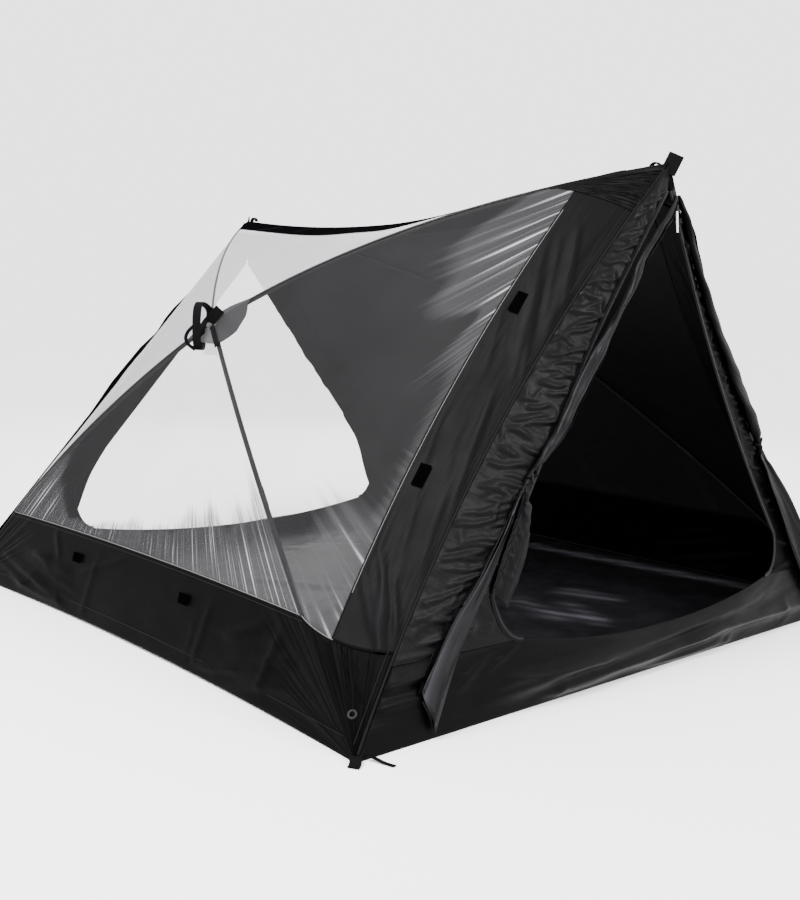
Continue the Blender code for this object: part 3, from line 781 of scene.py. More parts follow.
# The lower facet takes a paler copy of the cover cloth: painted light.
low_cover_painted_light_finish = woven("low_cover_cloth", 0.0056, 0.0124, 0.36, 0.04, (6, 9, 0.004))
for k, kind in enumerate(PANELS):
    finish = low_cover_painted_light_finish if kind == "lower" else cover_finish
    panel = wall_panel("right", kind, "cover", finish, WALL_CLOTH, COVER_FULLNESS, COVER_GRID, 40 + k)


# Lower bands
# A wide band of the floor's own cloth runs up each side wall and folds round the poles at the ground
# corners, as a splash guard. It is sewn to the netting along its upper edge and ripples along the floor.

band_finish = woven("band_cloth", 0.0003, 0.0034, 0.38, 0.018, (4, 16, 0.0035), fan=5.5)
BAND_ROWS = 40
BAND_COLUMNS = 170
CORNER_COLUMNS = 24
SIDE_LENGTH = 2.03
FRONT_EDGE_LENGTH = 1.68
BAND_DEPTH = 0.95
CREASE_REACH = 0.20


def creases_from(rise, run):
    """The angle and the distance of a place from the ground corner that the band is drawn in to."""
    return np.arctan2(rise, run), np.hypot(rise, run)


for side, flip in SIDES.items():
    rng = np.random.default_rng(61 if side == "left" else 62)
    s = np.linspace(S_LOWER, 1, BAND_ROWS)[:, None] * np.ones((1, BAND_COLUMNS))
    t = np.linspace(0, 1, BAND_COLUMNS)[None, :] * np.ones((BAND_ROWS, 1))
    main = LOWER(s, t)
    lift = scatter_folds(rng, main, LOWER, 30, (0.98, 0.5), (0.80, 0.5), 0.45, 0.010, 0.004)
    lift += scatter_folds(rng, main, LOWER, 12, (0.86, 0.10), (0.94, 0.30), 0.08, 0.012, 0.005)
    lift += scatter_folds(rng, main, LOWER, 12, (0.90, 0.90), (0.94, 0.70), 0.08, 0.012, 0.005)
    lift *= smooth((s - S_LOWER) / 0.03) * smooth(np.minimum(t, 1 - t) / 0.02) * smooth((1.002 - s) / 0.03)
    corners = []
    for surface, t_from, t_to in ((FRONT, corner_seam, lambda v: v * 0 + 1),
                                  (REAR, lambda v: v * 0, lambda v: 1 - corner_seam(v))):
        corners.append(panel_grid(surface, S_LOWER, 1, t_from, t_to, BAND_ROWS, CORNER_COLUMNS)[0])
    points = np.concatenate([corners[0][:, :-1], main, corners[1][:, 1:]], axis=1)
    full = np.zeros(points.shape[:2])
    main_from, main_to = CORNER_COLUMNS - 1, CORNER_COLUMNS - 1 + BAND_COLUMNS
    full[:, main_from:main_to] = lift
    for columns, surface, mid in ((slice(0, main_from), FRONT, 0.93), (slice(main_to, None), REAR, 0.07)):
        part = points[:, columns]
        extra = scatter_folds(rng, part, surface, 9, (0.97, mid), (0.80, mid), 0.05, 0.007, 0.004)
        step = np.linspace(0, 1, part.shape[1])[None, :]
        fade = smooth(np.minimum(step, 1 - step) / 0.2) * smooth((s[:, :1] - S_LOWER) / 0.05)
        full[:, columns] = extra * fade * smooth((1.002 - s[:, :1]) / 0.03)
    rise, ahead = (1 - s[:, :1]) * BAND_DEPTH, t[:1] * SIDE_LENGTH
    round_corner = 1 - np.linspace(0, 1, CORNER_COLUMNS)[None, :-1]
    round_corner = round_corner * (1 - corner_seam(s[:, :1])) * FRONT_EDGE_LENGTH
    front_fan = creases_from(rise, round_corner)
    side_fan = creases_from(rise, np.minimum(ahead, SIDE_LENGTH - ahead))
    rear_fan = creases_from(rise, round_corner[:, ::-1])
    angle = np.concatenate([np.pi - front_fan[0], side_fan[0], np.pi - rear_fan[0]], axis=1)
    distance = np.concatenate([front_fan[1], side_fan[1], rear_fan[1]], axis=1)
    # Near the ground corners the fanning creases are marked, and the finish paints them paler as highlights.
    mark = np.exp(-(distance / CREASE_REACH) ** 2) * smooth(rise / 0.01) * 0.9
    piece = cloth(f"{side}_lower_band_cloth", points * flip, WALL_OUT * flip, full, FLOOR_CLOTH, band_finish,
                  mark, np.stack([angle, distance], axis=-1))
    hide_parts(f"{side}_lower_band")
    min(cut_area(points), 0.66)


# Front bands
# A broad band of black cloth stiffens each front edge of the side walls, from the peak patch down to
# the lower band. Its inner edge is sewn over the netting.

edge_finish = woven("front_band_cloth", 0.0011, 0.0042, 0.34, 0.034, (5, 34, 0.0028))
for side, flip in SIDES.items():
    rng = np.random.default_rng(71 if side == "left" else 72)
    points, s, t = panel_grid(FRONT, S_FRONT - 0.004, 1, lambda v: peak_on_edge(v) + 0.0006,
                              lambda v: corner_seam(v) + 0.0015, 30, 170)
    points = points + WALL_OUT * 0.0010
    lift = scatter_folds(rng, points, FRONT, 12, (0.87, 0.15), (0.97, 0.40), 0.06, 0.009, 0.003)
    lift += scatter_folds(rng, points, FRONT, 14, (0.95, 0.75), (0.90, 0.50), 0.10, 0.010, 0.003)
    lift += scatter_folds(rng, points, FRONT, 10, (0.98, 0.88), (0.88, 0.80), 0.05, 0.008, 0.004)
    lift *= smooth((s - S_FRONT) / 0.02) * smooth((1.001 - s) / 0.02)
    piece = cloth(f"{side}_front_band_cloth", points * flip, WALL_OUT * flip, lift, WALL_CLOTH, edge_finish)
    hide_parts(f"{side}_front_band")
    min(cut_area(points), 0.275)


# Ridge band
# One strip of the same cloth is folded over the ridge and joins the two upper panels. It hangs in the
# slack curve between the peaks, and it is widest a little behind the front one.

RIDGE_ROWS = 26
RIDGE_COLUMNS = 170
ridge_finish = woven("ridge_cloth", 0.0010, 0.0050, 0.45, 0.0, (5, 34, 0.0028))
rng = np.random.default_rng(81)
t = np.linspace(0.002, 1, RIDGE_COLUMNS)[None, :] * np.ones((RIDGE_ROWS, 1))
edge = ridge_band_edge(t)
s = edge + (1 - edge) * np.linspace(0, 1, RIDGE_ROWS)[:, None]
t = t * (peak_on_ridge(s) - 0.001)
points = UPPER(s, t) + 0.0030 * smooth((1.0 - s[..., None]) / 0.03) * WALL_OUT
lift = scatter_folds(rng, points, UPPER, 22, (0.97, 0.5), (0.88, 0.5), 0.42, 0.009, 0.003)
lift *= smooth((s - edge) / 0.02) * smooth((1.0 - s) / 0.03)
ridge_points = np.concatenate([points, (points * SIDES["right"])[-2::-1]])
ridge_lift = np.concatenate([lift, lift[-2::-1]])
piece = cloth("ridge_band_cloth", ridge_points, UP, ridge_lift, WALL_CLOTH, ridge_finish)
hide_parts("ridge_band")
min(cut_area(ridge_points), 0.88)


# Front peak patches
# Each side of the front peak is doubled with a patch that folds over the pole. The cloth is drawn
# together at the tip, so creases fan out from it.

patch_cloth = woven("peak_patch_cloth", 0.0008, 0.0034, 0.30, 0.045, (10, 10, 0.004), fan=11)
PATCH_THICKNESS = 0.0010
PATCH_ROWS = 40
UPPER_COLUMNS = 40
FRONT_COLUMNS = 36
PATCH_CREASES = 26
PATCH_START = S_PEAK - 0.012
for side, flip in SIDES.items():
    upper_part = panel_grid(UPPER, PATCH_START, 1, lambda v: peak_on_ridge(v) - 0.006,
                            lambda v: v * 0 + 1, PATCH_ROWS, UPPER_COLUMNS)[0]
    front_part = panel_grid(FRONT, PATCH_START, 1, lambda v: v * 0,
                            lambda v: peak_on_edge(v) + 0.008, PATCH_ROWS, FRONT_COLUMNS)[0]
    points = np.concatenate([upper_part[:, :-1], front_part], axis=1) + WALL_OUT * 0.0030
    across = np.arange(points.shape[1])[None, :]
    last = points.shape[1] - 1
    from_tip = np.linspace(1, 0, PATCH_ROWS)[:, None]
    rng = np.random.default_rng(91)
    lift = np.zeros(points.shape[:2])
    for _ in range(PATCH_CREASES):
        column = rng.integers(3, last - 2)
        away = (across - column) / rng.uniform(1.0, 2.4)
        reach_down = rng.uniform(0.3, 1.0)
        height = rng.uniform(0.0015, 0.0045)
        lift += height * np.exp(-away ** 2) * smooth(1 - from_tip / reach_down) * smooth(from_tip / 0.08)
    # The creases end at the fold over the pole, at both sides and at the lower edge.
    lift *= smooth(np.abs(across - (UPPER_COLUMNS - 1)) / 5.0)
    lift *= smooth(across / 4) * smooth((last - across) / 4)
    lift *= smooth(np.arange(PATCH_ROWS)[:, None] / 4)
    column, row = np.meshgrid(np.linspace(0, 3, points.shape[1]), np.linspace(0, 1, PATCH_ROWS))
    # The creases fanning from the tip are painted paler as highlights, more so towards the tip.
    piece = cloth(f"{side}_front_peak_patch_cloth", points * flip, WALL_OUT * flip, lift, PATCH_THICKNESS,
                  patch_cloth, smooth(row * 1.4), np.stack([column, row], axis=-1))
    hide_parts(f"{side}_front_peak_patch")
    max(cut_area(points), 0.032)


# Seams
# Black tape covers the seam over each pole. Fine pipings edge the netting along the bands, and on the
# near side the ones at the netting's edge are painted pale, as a highlight. A stiff ribbon stands on
# each rear edge, and a double black piping joins the front bands to the door's strips.

tape_finish = Finish("seam_tape")
tape_weave = tape_finish.noise(500, 2)
tape_finish.surface({
    "Base Color": tape_finish.blend(tape_weave, grey(0.0016, COOL), grey(0.0050, COOL)),
    "Roughness": tape_weave * 0.2 + 0.45,
    "Specular IOR Level": 0.05,
    "Normal": tape_finish.bump(tape_weave, 0.0004),
})
pole_tape = Finish("pole_tape")
pole_tape.surface({
    "Base Color": pole_tape.blend(pole_tape.noise(30, 3), grey(0.006, COOL), grey(0.016, COOL)),
    "Roughness": 0.4,
    "Specular IOR Level": 0.08,
    "Normal": pole_tape.bump(pole_tape.noise(500, 2), 0.0004),
})
binding_finish = Finish("edge_binding")
binding_finish.surface({
    "Base Color": binding_finish.blend(binding_finish.noise(400, 2), grey(0.0006), grey(0.0024)),
    "Roughness": 0.6,
    "Specular IOR Level": 0.01,
    "Normal": binding_finish.bump(binding_finish.noise(500, 2), 0.0004),
})
piping_finish = Finish("netting_edge")
bead = piping_finish.noise(300, 3)
piping_finish.surface({
    "Base Color": piping_finish.blend(bead, grey(0.03), grey(0.13)),
    "Roughness": 0.5,
    "Specular IOR Level": 0.15,
    "Normal": piping_finish.bump(bead, 0.0004),
})


def sewn_strip(name, path, out, flip, width, thickness, finish, square, sides=10):
    """Tape or piping sewn flat along a path, facing out."""
    across = np.cross(unit(np.gradient(path, axis=0)), out)
    piece = strap(name, path * flip, across * flip, width, thickness, finish, square=square, sides=sides)


TAPE_STOPS = {"front_peak": S_PEAK, "front_foot": S_LOWER, "rear_foot": S_LOWER, "rear_peak": 0.84}
TAPE_WIDTH = 0.0085
PIPING_WIDTH = 0.0024
BINDING_ROOT = 0.004
# How high the binding stands, against the share of the way up the rear edge
BINDING_RISE = (0, 0.42, 0.50, 0.60, 0.65, 0.69, 0.72, 0.77, 1)
BINDING_HEIGHT = (0.024, 0.023, 0.032, 0.028, 0.015, 0.022, 0.021, 0.010, 0.008)
peak_end = peak_on_edge(S_FRONT)
drops = peak_end + np.linspace(0.06, 1, 60) * (0.87 - peak_end)
along_band = np.linspace(0.003, 0.997, 60)
front_fold = np.linspace(S_LOWER, S_FRONT, 24)
rear_fold = np.linspace(S_LOWER, 1, 24)
PIPINGS = [
    ("front_edge", FRONT(S_FRONT, drops)),
    ("band_edge", LOWER(S_LOWER, along_band)),
    ("band_stitch", LOWER(S_LOWER + 0.012, along_band)),
    ("floor_welt", LOWER(0.960, along_band)),
    ("corner_edge", FRONT(front_fold, corner_seam(front_fold))),
    ("rear_corner_edge", REAR(rear_fold, 1 - corner_seam(rear_fold))),
]
for side, flip in SIDES.items():
    for end, stop in TAPE_STOPS.items():
        places = np.linspace(0.03, stop, 60)
        folds = fold_normals(end, places)
        out = unit(folds[0] + folds[1])
        sewn_strip(f"{side}_{end}_seam_tape", POLE_LINES[end](places) + out * 0.0003, out, flip,
                   TAPE_WIDTH, 0.0016, pole_tape, 0.7)
    for title, path in PIPINGS:
        # On the near side the pipings along the netting's edges are pale: a painted highlight.
        pale = side == "left" and title in ("front_edge", "band_edge", "corner_edge")
        sewn_strip(f"{side}_{title}_piping", path + WALL_OUT * 0.0006, WALL_OUT, flip,
                   PIPING_WIDTH, 0.0018, piping_finish if pale else tape_finish, 0.9, 8)
    rise = np.linspace(0.01, 0.99, 120)
    height = np.interp(rise, BINDING_RISE, BINDING_HEIGHT)[:, None]
    path = REAR(1.0, rise) + (height - BINDING_ROOT) / 2 * WALL_OUT + vec(0, 0.0012, 0)
    piece = strap(f"{side}_rear_edge_binding", path * flip, WALL_OUT * flip, height + BINDING_ROOT, 0.0046,
                  binding_finish, square=0.6, sides=12)
    for title, s_at, size in (("outer", 1.0, 0.0056), ("inner", 0.984, 0.0034)):
        path = FRONT(s_at, np.linspace(0.012, 0.99, 90)) + WALL_OUT * 0.0008
        sewn_strip(f"{side}_front_seam_{title}", path, WALL_OUT, flip, size, size, tape_finish, 1.0)


# Hub patches
# A dark patch of stronger cloth is sewn round each hub, on all four facets. Its longest arm runs up
# along the front peak pole. Under the near hub a small pocket is sewn on, with a clear window below.

patch_finish = Finish("hub_patch")
patch_weave = patch_finish.noise(240, 3)
patch_finish.surface({
    "Base Color": patch_finish.blend(patch_weave, grey(0.016, COOL / 2), grey(0.028, COOL / 2)),
    "Alpha": 0.98,
    "Roughness": patch_weave * 0.2 + 0.45,
    "Specular IOR Level": 0.05,
    "Normal": patch_finish.bump(patch_weave, 0.0004),
})
pale_finish = Finish("hub_pocket")
pale_finish.surface({"Base Color": pale_finish.blend(pale_finish.noise(90, 3), grey(0.035), grey(0.065)),
                     "Roughness": 0.5, "Specular IOR Level": 0.1,
                     "Normal": pale_finish.bump(pale_finish.noise(240, 3), 0.0004)})
clear_finish = Finish("hub_window")
clear_finish.surface({"Base Color": clear_finish.blend(clear_finish.noise(90, 3), grey(0.20), grey(0.30)),
                      "Alpha": 0.35, "Roughness": 0.5, "Specular IOR Level": 0.1})
# How far from the hub the patch ends on each facet, against t
PATCH_REACH = [
    (UPPER, [(0, 0.070), (0.5, 0.048), (1, 0.118)]),
    (FRONT, [(0, 0.118), (0.10, 0.115), (0.34, 0.135), (0.56, 0.130), (0.86, 0.093), (1, 0.075)]),
    (LOWER, [(0, 0.075), (0.5, 0.060), (1, 0.070)]),
    (REAR, [(0, 0.070), (0.5, 0.050), (1, 0.070)]),
]
PATCH_START_S = 0.028
HUB_PATCH_ROWS = 16
POCKET_GRID = 14
LIGHT_CLOTH = 0.0006
# Title, first and last s, first and last t, how far it stands off the wall, and finish
POCKET_PARTS = [
    ("pocket", (0.030, 0.080), (0.03, 0.58), 0.0032, pale_finish),
    ("window", (0.078, 0.118), (0.05, 0.34), 0.0016, clear_finish),
]
for side, flip in SIDES.items():
    parts = []
    for surface, reach in PATCH_REACH:
        t = np.linspace(0, 1, 26)[None, :]
        stop = np.interp(t, [a for a, _ in reach], [b for _, b in reach])
        s = PATCH_START_S + (stop - PATCH_START_S) * np.linspace(0, 1, HUB_PATCH_ROWS)[:, None]
        parts.append(surface(s, t * np.ones_like(s)) + WALL_OUT * 0.0012)
    points = np.concatenate([part[:, :-1] for part in parts] + [parts[0][:, :1]], axis=1)
    around = np.linspace(0, 8 * math.pi, points.shape[1])[None, :]
    lift = 0.0004 * (1 + np.sin(around * 3)) * np.linspace(0, 1, HUB_PATCH_ROWS)[:, None]
    piece = cloth(f"{side}_hub_patch", points * flip, WALL_OUT * flip, lift, LIGHT_CLOTH,
                  patch_finish if side == "left" else edge_finish)
    max(cut_area(points), 0.0101)
    if side == "right":
        continue
    for title, (low, high), (t_from, t_to), out, finish in POCKET_PARTS:
        points = panel_grid(LOWER, low, high, lambda v: v * 0 + t_from, lambda v: v * 0 + t_to,
                            POCKET_GRID, POCKET_GRID)[0]
        points = points + WALL_OUT * out
        piece = cloth(f"{side}_hub_{title}", points * flip, WALL_OUT * flip, np.zeros(points.shape[:2]),
                      LIGHT_CLOTH, finish)
        max(cut_area(points), 0.0021)


# Fastener squares
# Small squares of hook fastener are sewn to the front bands and the lower bands, where a cover's tabs
# are pressed on.

hook_finish = Finish("hook_fastener")
hooks = hook_finish.noise(900, 1)
hook_finish.surface({"Base Color": hook_finish.blend(hooks, grey(0.0002), grey(0.0010)), "Roughness": 0.9,
                     "Specular IOR Level": 0.0, "Normal": hook_finish.bump(hooks, 0.001)})
SQUARE_WIDTH = 0.028
# Title, facet, place on it and length
SQUARES = [("front_upper", FRONT, 0.885, 0.285, 0.060), ("front_lower", FRONT, 0.885, 0.635, 0.060),
           ("low_front", LOWER, 0.827, 0.343, 0.045), ("low_rear", LOWER, 0.827, 0.694, 0.045)]
for side, flip in SIDES.items():
    for title, surface, s_at, t_at, length in SQUARES:
        middle = surface(s_at, t_at)
        run = unit(surface(s_at, t_at + 0.01) - middle)
        normal = facet_normal(surface, s_at, t_at, 1)
        path = middle + normal * 0.0056 + run * np.linspace(-length / 2, length / 2, 9)[:, None]
        piece = strap(f"{side}_{title}_fastener", path * flip, np.cross(run, normal) * flip, SQUARE_WIDTH,
                      0.0016, hook_finish, square=0.12, sides=24)


# End walls
# Each end has a triangular doorway over a low sill of the floor's cloth. On both sides of the doorway
# a slack strip of door cloth runs from the wall's edge to the zip, gathered into cross folds.

door_finish = woven("door_cloth", 0.0012, 0.0050, 0.26, 0.070, (9, 26, 0.0050))
shaded_door = woven("shaded_door_cloth", 0.0006, 0.0024, 0.34, 0.016, (9, 26, 0.0050))
sill_finish = woven("sill_cloth", 0.0004, 0.0034, 0.24, 0.040, (2.2, 11, 0.014))
# The doorway's side runs straight to DOOR_TURN of its way, and then rounds inward by DOOR_FOOT.
DOOR_TURN = 0.8
DOOR_TIP = 0.006
DOOR_FOOT = 0.08


class EndWall:
    """The front or rear wall: its surface and the outline of its doorway.

    The door is given by its peak's height, its half width, the height at which its foot begins to
    round, and the sill's height."""

    def __init__(self, name, face, top, foot, lean, hollow, door):
        self.name, self.face, self.top, self.foot = name, face, top[2], abs(foot[0])
        self.lean, self.hollow = lean, hollow
        self.peak, self.half_width, self.corner, self.sill = door

    def edge_x(self, z):
        return self.foot * (1 - z / self.top)

    def on(self, x, z, out=0.0):
        x, z, out = np.broadcast_arrays(np.asarray(x, float), np.asarray(z, float), np.asarray(out, float))
        t = 1 - z / self.top
        share = x / np.maximum(self.edge_x(z), 1e-4)
        inward = self.lean * (1 - t) + 4 * self.hollow * t * (1 - t) * np.minimum(share ** 2, 1.2)
        return np.stack([x, self.face * (SIDE_LENGTH / 2 - inward + out), z], axis=-1)

    def door_side(self, k):
        """The right side of the doorway, from its peak at 0 down to the sill at 1."""
        k = np.asarray(k, float)
        run = np.minimum(k / DOOR_TURN, 1)
        turn = np.maximum(0, k - DOOR_TURN) / (1 - DOOR_TURN) * math.pi / 2
        x = DOOR_TIP + (self.half_width - DOOR_TIP) * run
        z = self.peak + (self.corner - self.peak) * run
        return x - (1 - np.cos(turn)) * DOOR_FOOT, z - (self.corner - self.sill) * np.sin(turn)


FRONT_WALL = EndWall("front", -1, FRONT_TOP, FRONT_FOOT, 0.058, 0.094, (1.240, 0.61, 0.28, 0.165))
REAR_WALL = EndWall("rear", 1, REAR_TOP, REAR_FOOT, 0.062, 0.0, (1.090, 0.70, 0.27, 0.112))


def free_folds(rng, points, count, heading, turn, length, width, height):
    """Folds scattered over a slack cloth, each near its own heading in the wall's plane."""
    lift = np.zeros(points.shape[:2])
    flat = points.reshape(-1, 3)
    for _ in range(count):
        centre = flat[rng.integers(len(flat))]
        angle = math.radians(rng.normal(heading, turn))
        half = rng.uniform(0.5, 1.0) * length / 2 * vec(math.cos(angle), 0, math.sin(angle))
        size = height * rng.uniform(0.4, 1.0)
        lift += ridge_of(points, centre - half, centre + half, width * rng.uniform(0.6, 1.4), size, 0.45)
    return lift


def puckers(rng, along, across, spacing, height):
    """Puffed cross folds down a slack strip, each steeper on its lower side."""
    lift = np.zeros(across.shape)
    place = 0.0
    while place < along.max():
        place += spacing * rng.uniform(0.5, 1.5)
        slant, centre = rng.normal(0.0, 0.040), rng.uniform(0.15, 0.85)
        middle = place + slant * (across - 0.5) + 0.004 * np.sin(9 * across + place * 40)
        away = (along - middle) / (spacing * 0.42)
        away = np.where(away < 0, away, away * 2.6)
        reach = np.exp(-((across - centre) / rng.uniform(0.18, 0.50)) ** 4)
        lift += height * rng.uniform(0.4, 1.0) * np.exp(-away ** 2) * reach
    return lift


DOOR_CLOTH = 0.0007
STRIP_COLUMNS = 34
SILL_ROWS = 34
SILL_COLUMNS = 200
SILL_SAG = 0.050
# The sills' long folds: from (x, z), to (x, z), width and height
SILL_FOLDS = [((-0.72, 0.045), (0.60, 0.118), 0.022, 0.024),
              ((-0.55, 0.020), (0.30, 0.052), 0.014, 0.015),
              ((0.05, 0.050), (0.88, 0.062), 0.017, 0.016)]
for wall, seed, count in ((FRONT_WALL, 101, 230), (REAR_WALL, 111, 110)):
    outward = vec(0, wall.face, 0)
    door_k = np.concatenate([np.linspace(0, DOOR_TURN, count), np.linspace(DOOR_TURN, 1, 30)[1:]])
    x, z = wall.door_side(door_k)
    x = np.concatenate([[-0.0015, -0.0015], x])
    z = np.concatenate([[wall.top - 0.006, wall.peak + 0.02], z])
    outer = wall.edge_x(z) - 0.0004
    across = np.linspace(0, 1, STRIP_COLUMNS)[None, :]
    columns = outer[:, None] + (x - outer)[:, None] * across
    points = wall.on(columns, z[:, None] * np.ones_like(across))
    for side, sign in (("right", 1), ("left", -1)):
        rng = np.random.default_rng(seed + sign)
        steps = np.linalg.norm(np.diff(points[:, STRIP_COLUMNS // 2], axis=0), axis=-1)
        along = np.concatenate([[0], np.cumsum(steps)])[:, None] * np.ones_like(across)
        wide = across * np.ones_like(along)
        lift = puckers(rng, along, wide, 0.022, 0.0075)
        lift += free_folds(rng, points, 46, 110, 30, 0.11, 0.007, 0.005)
        edge = smooth(across / 0.10) * smooth((1.0 - across) / 0.08)
        lift *= edge * smooth((z[:, None] - wall.sill) / 0.02)
        flip = vec(sign, 1, 1)
        piece = cloth(f"{wall.name}_wall_{side}_cloth", points * flip, outward, lift, DOOR_CLOTH,
                      door_finish if wall is FRONT_WALL and side == "left" else shaded_door)
        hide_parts(f"{wall.name}_wall_{side}")
        max(cut_area(points), 0.196)

    rng = np.random.default_rng(seed + 5)
    up_share = np.linspace(0, 1, SILL_ROWS)[:, None]
    k = np.linspace(-1, 1, SILL_COLUMNS)[None, :]
    door_x = float(wall.door_side(1.0)[0])
    sag = SILL_SAG * np.maximum(0, 1 - (k * wall.edge_x(wall.sill) / door_x) ** 2)
    z = up_share * (wall.sill - sag)
    points = wall.on(k * (wall.edge_x(z) - 0.003), z)
    lift = free_folds(rng, points, 20, 4, 4, 0.80, 0.012, 0.008)
    for start, end, width, height in SILL_FOLDS:
        lift += ridge_of(points, wall.on(*start), wall.on(*end), width, height, 0.2)
    lift += free_folds(rng, points, 16, 30, 12, 0.20, 0.008, 0.004)
    lift *= smooth(up_share / 0.12) * smooth((1.0 - up_share) / 0.12) * smooth((1 - np.abs(k)) / 0.02)
    piece = cloth(f"{wall.name}_sill_cloth", points, outward, lift, FLOOR_CLOTH, sill_finish)
    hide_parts(f"{wall.name}_sill")
    cut_area(points)


# Zips
# A coil zip follows each side of the doorways, between two edges of black tape. On the front one a
# white puller hangs from the slider near the peak, and the rear one has a plainer puller.

coil_finish = Finish("zip_coil")
coil = coil_finish.noise(700, 1)
coil_finish.surface({"Base Color": coil_finish.blend(coil, grey(0.002), grey(0.010)), "Roughness": 0.35,
                     "Specular IOR Level": 0.10, "Normal": coil_finish.bump(coil, 0.0008)})
# Title, how far aside and how far out it lies, width and finish
ZIP_PARTS = [("zip_tape", 0.002, 0.0012, 0.016, tape_finish),
             ("zip_coil", 0.0005, 0.0022, 0.005, coil_finish)]
for wall in (FRONT_WALL, REAR_WALL):
    for side, sign in (("right", 1), ("left", -1)):
        x, z = wall.door_side(np.linspace(0, 1, 110))
        for title, shift, out, width, finish in ZIP_PARTS:
            sewn_strip(f"{wall.name}_{side}_{title}", wall.on(x + shift, z, out), vec(0, wall.face, 0),
                       vec(sign, 1, 1), width, 0.0018, finish, 0.7)

pull_finish = Finish("puller_tape")
ribs = pull_finish.noise(120, 1, 0.5, (0.2, 0.2, 2))
pull_finish.surface({"Base Color": pull_finish.blend(ribs, grey(0.62), grey(0.80)), "Roughness": 0.5,
                     "Normal": pull_finish.bump(ribs, 0.001)})
# Each puller's wall, the place of its slider, its length and its finish
PULLERS = [(FRONT_WALL, 0.042, 1.196, 0.058, pull_finish), (REAR_WALL, 0.012, 1.185, 0.050, coil_finish)]
for wall, x_at, z_at, length, finish in PULLERS:
    z = np.linspace(z_at, z_at - length, 14)
    x = x_at - 0.004 * np.sin(np.linspace(0, 3, 14))
    path = wall.on(x, z, 0.0035 + 0.0015 * np.sin(np.linspace(0, 2.6, 14)))
    piece = strap(f"{wall.name}_zip_puller_tape", path, vec(1, 0, 0), 0.0075, 0.0022, finish, square=0.5)
    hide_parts(f"{wall.name}_zip_puller")
    slider = wall.on(np.full(6, x_at), np.linspace(z_at + 0.012, z_at - 0.004, 6), 0.004)
    piece = strap(f"{wall.name}_zip_slider", slider, vec(1, 0, 0), 0.009, 0.006, coil_finish, square=0.6)


# Door flaps
# The door is split down the middle. Each half is rolled up along its side of the doorway and tied at
# half height, and below the tie the rest of it hangs open over the sill. A lining shows behind it.

def through(knots, count, start=0.0, stop=None):
    """A smooth curve through points, at even steps of their order."""
    knots = np.asarray(knots, dtype=float)
    stop = len(knots) - 1 if stop is None else stop
    k = np.linspace(start, stop, count)
    low = np.clip(np.floor(k).astype(int), 0, len(knots) - 2)
    f = (k - low)[:, None]
    slope = np.gradient(knots, axis=0)
    a, b, sa, sb = knots[low], knots[low + 1], slope[low], slope[low + 1]
    f2, f3 = f * f, f * f * f
    return a * (2 * f3 - 3 * f2 + 1) + sa * (f3 - 2 * f2 + f) + b * (3 * f2 - 2 * f3) + sb * (f3 - f2)


flap_finish = woven("flap_cloth", 0.0005, 0.0380, 0.24, 0.065, (30, 3.5, 0.006))
shaded_flap = woven("shaded_flap_cloth", 0.0003, 0.0040, 0.34, 0.022, (30, 3.5, 0.006))


def door_flap(name, node, wall, left, right, tie, rows, columns, turns, seed, finish, sheen):
    """A flap between two edges, given as x and z from the top down: rolled above the tie, open below.

    The tie is counted in knots from the top, and the turns are those of the roll at the tie."""
    rng = np.random.default_rng(seed)
    k = np.linspace(0, len(left) - 1, rows)[:, None]
    edges = [through(side, rows) for side in (left, right)]
    edges = [wall.on(side[:, 0], side[:, 1], 0.0015) for side in edges]
    centre, half = (edges[0] + edges[1]) / 2, (edges[1] - edges[0]) / 2
    front = np.cross(half, np.gradient(centre, axis=0))
    front = unit(front * np.sign(front[:, 1:2] * wall.face))
    size = np.linalg.norm(half, axis=-1, keepdims=True)
    u = np.linspace(0, 1, columns)[None, :]
    wound = 0.9 + (turns - 0.9) * np.minimum(k / tie, 1)
    angle = math.tau * wound * (u - 1) + 0.4 + 0.5 * np.sin(k * 0.9)
    lumps = 1 + 0.10 * np.sin(k * 3.1 + 2 * angle) + 0.07 * np.sin(k * 7.3 + angle)
    spiral = (0.30 + 0.70 * u) * lumps
    deep = np.clip(size * 0.62, 0.005, 0.0135)
    rolled = centre[:, None] + half[:, None] * (spiral * np.cos(angle))[..., None]
    rolled = rolled + front[:, None] * (deep * (1.12 + spiral * np.sin(angle)))[..., None]
    hang = smooth((k - tie) / 1.6)
    around = math.pi * (1 - 2 * u)
    flat_turn = np.sign(np.cos(around)) * np.abs(np.cos(around)) ** 0.9
    pleats = 0.10 * np.sin(math.tau * 4 * u + k * 1.3) + 0.05 * np.sin(math.tau * 9 * u)
    depth = 0.0095 + 0.0090 * np.sin(around * 0.5)
    ripple = 0.0045 * np.sin(math.tau * 2.6 * u + 0.8 + 0.5 * k) * smooth(np.sin(math.pi * u) * 2)
    drape = centre[:, None] + half[:, None] * (flat_turn + pleats * hang)[..., None]
    stand = np.maximum(depth * (0.5 + 0.5 * hang) + ripple * hang, 0.001)
    drape = drape + front[:, None] * stand[..., None]
    open_share = smooth((k - tie) / 0.7)[..., None]
    points = rolled * (1 - open_share) + drape * open_share
    lift = np.zeros((rows, columns))
    for _ in range(70):
        row, column = rng.integers(2, rows - 2), rng.integers(0, columns)
        size_row, size_column = rng.uniform(2, 9), rng.uniform(3, 16)
        away = ((np.arange(rows)[:, None] - row) / size_row) ** 2
        away = away + ((np.arange(columns)[None, :] - column) / size_column) ** 2
        lift += rng.uniform(-0.0014, 0.0014) * np.exp(-away)
    # Painted sheen: the fold tops, and a streak down the open part of the flap, are made paler.
    shine = np.clip(lift / 0.002, 0, 1) * 0.06 + sheen * hang * np.exp(-((u - 0.15) / 0.06) ** 2)
    piece = cloth(name, points, vec(0, 0, 0), lift, LIGHT_CLOTH, finish, shine)
    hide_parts(node)


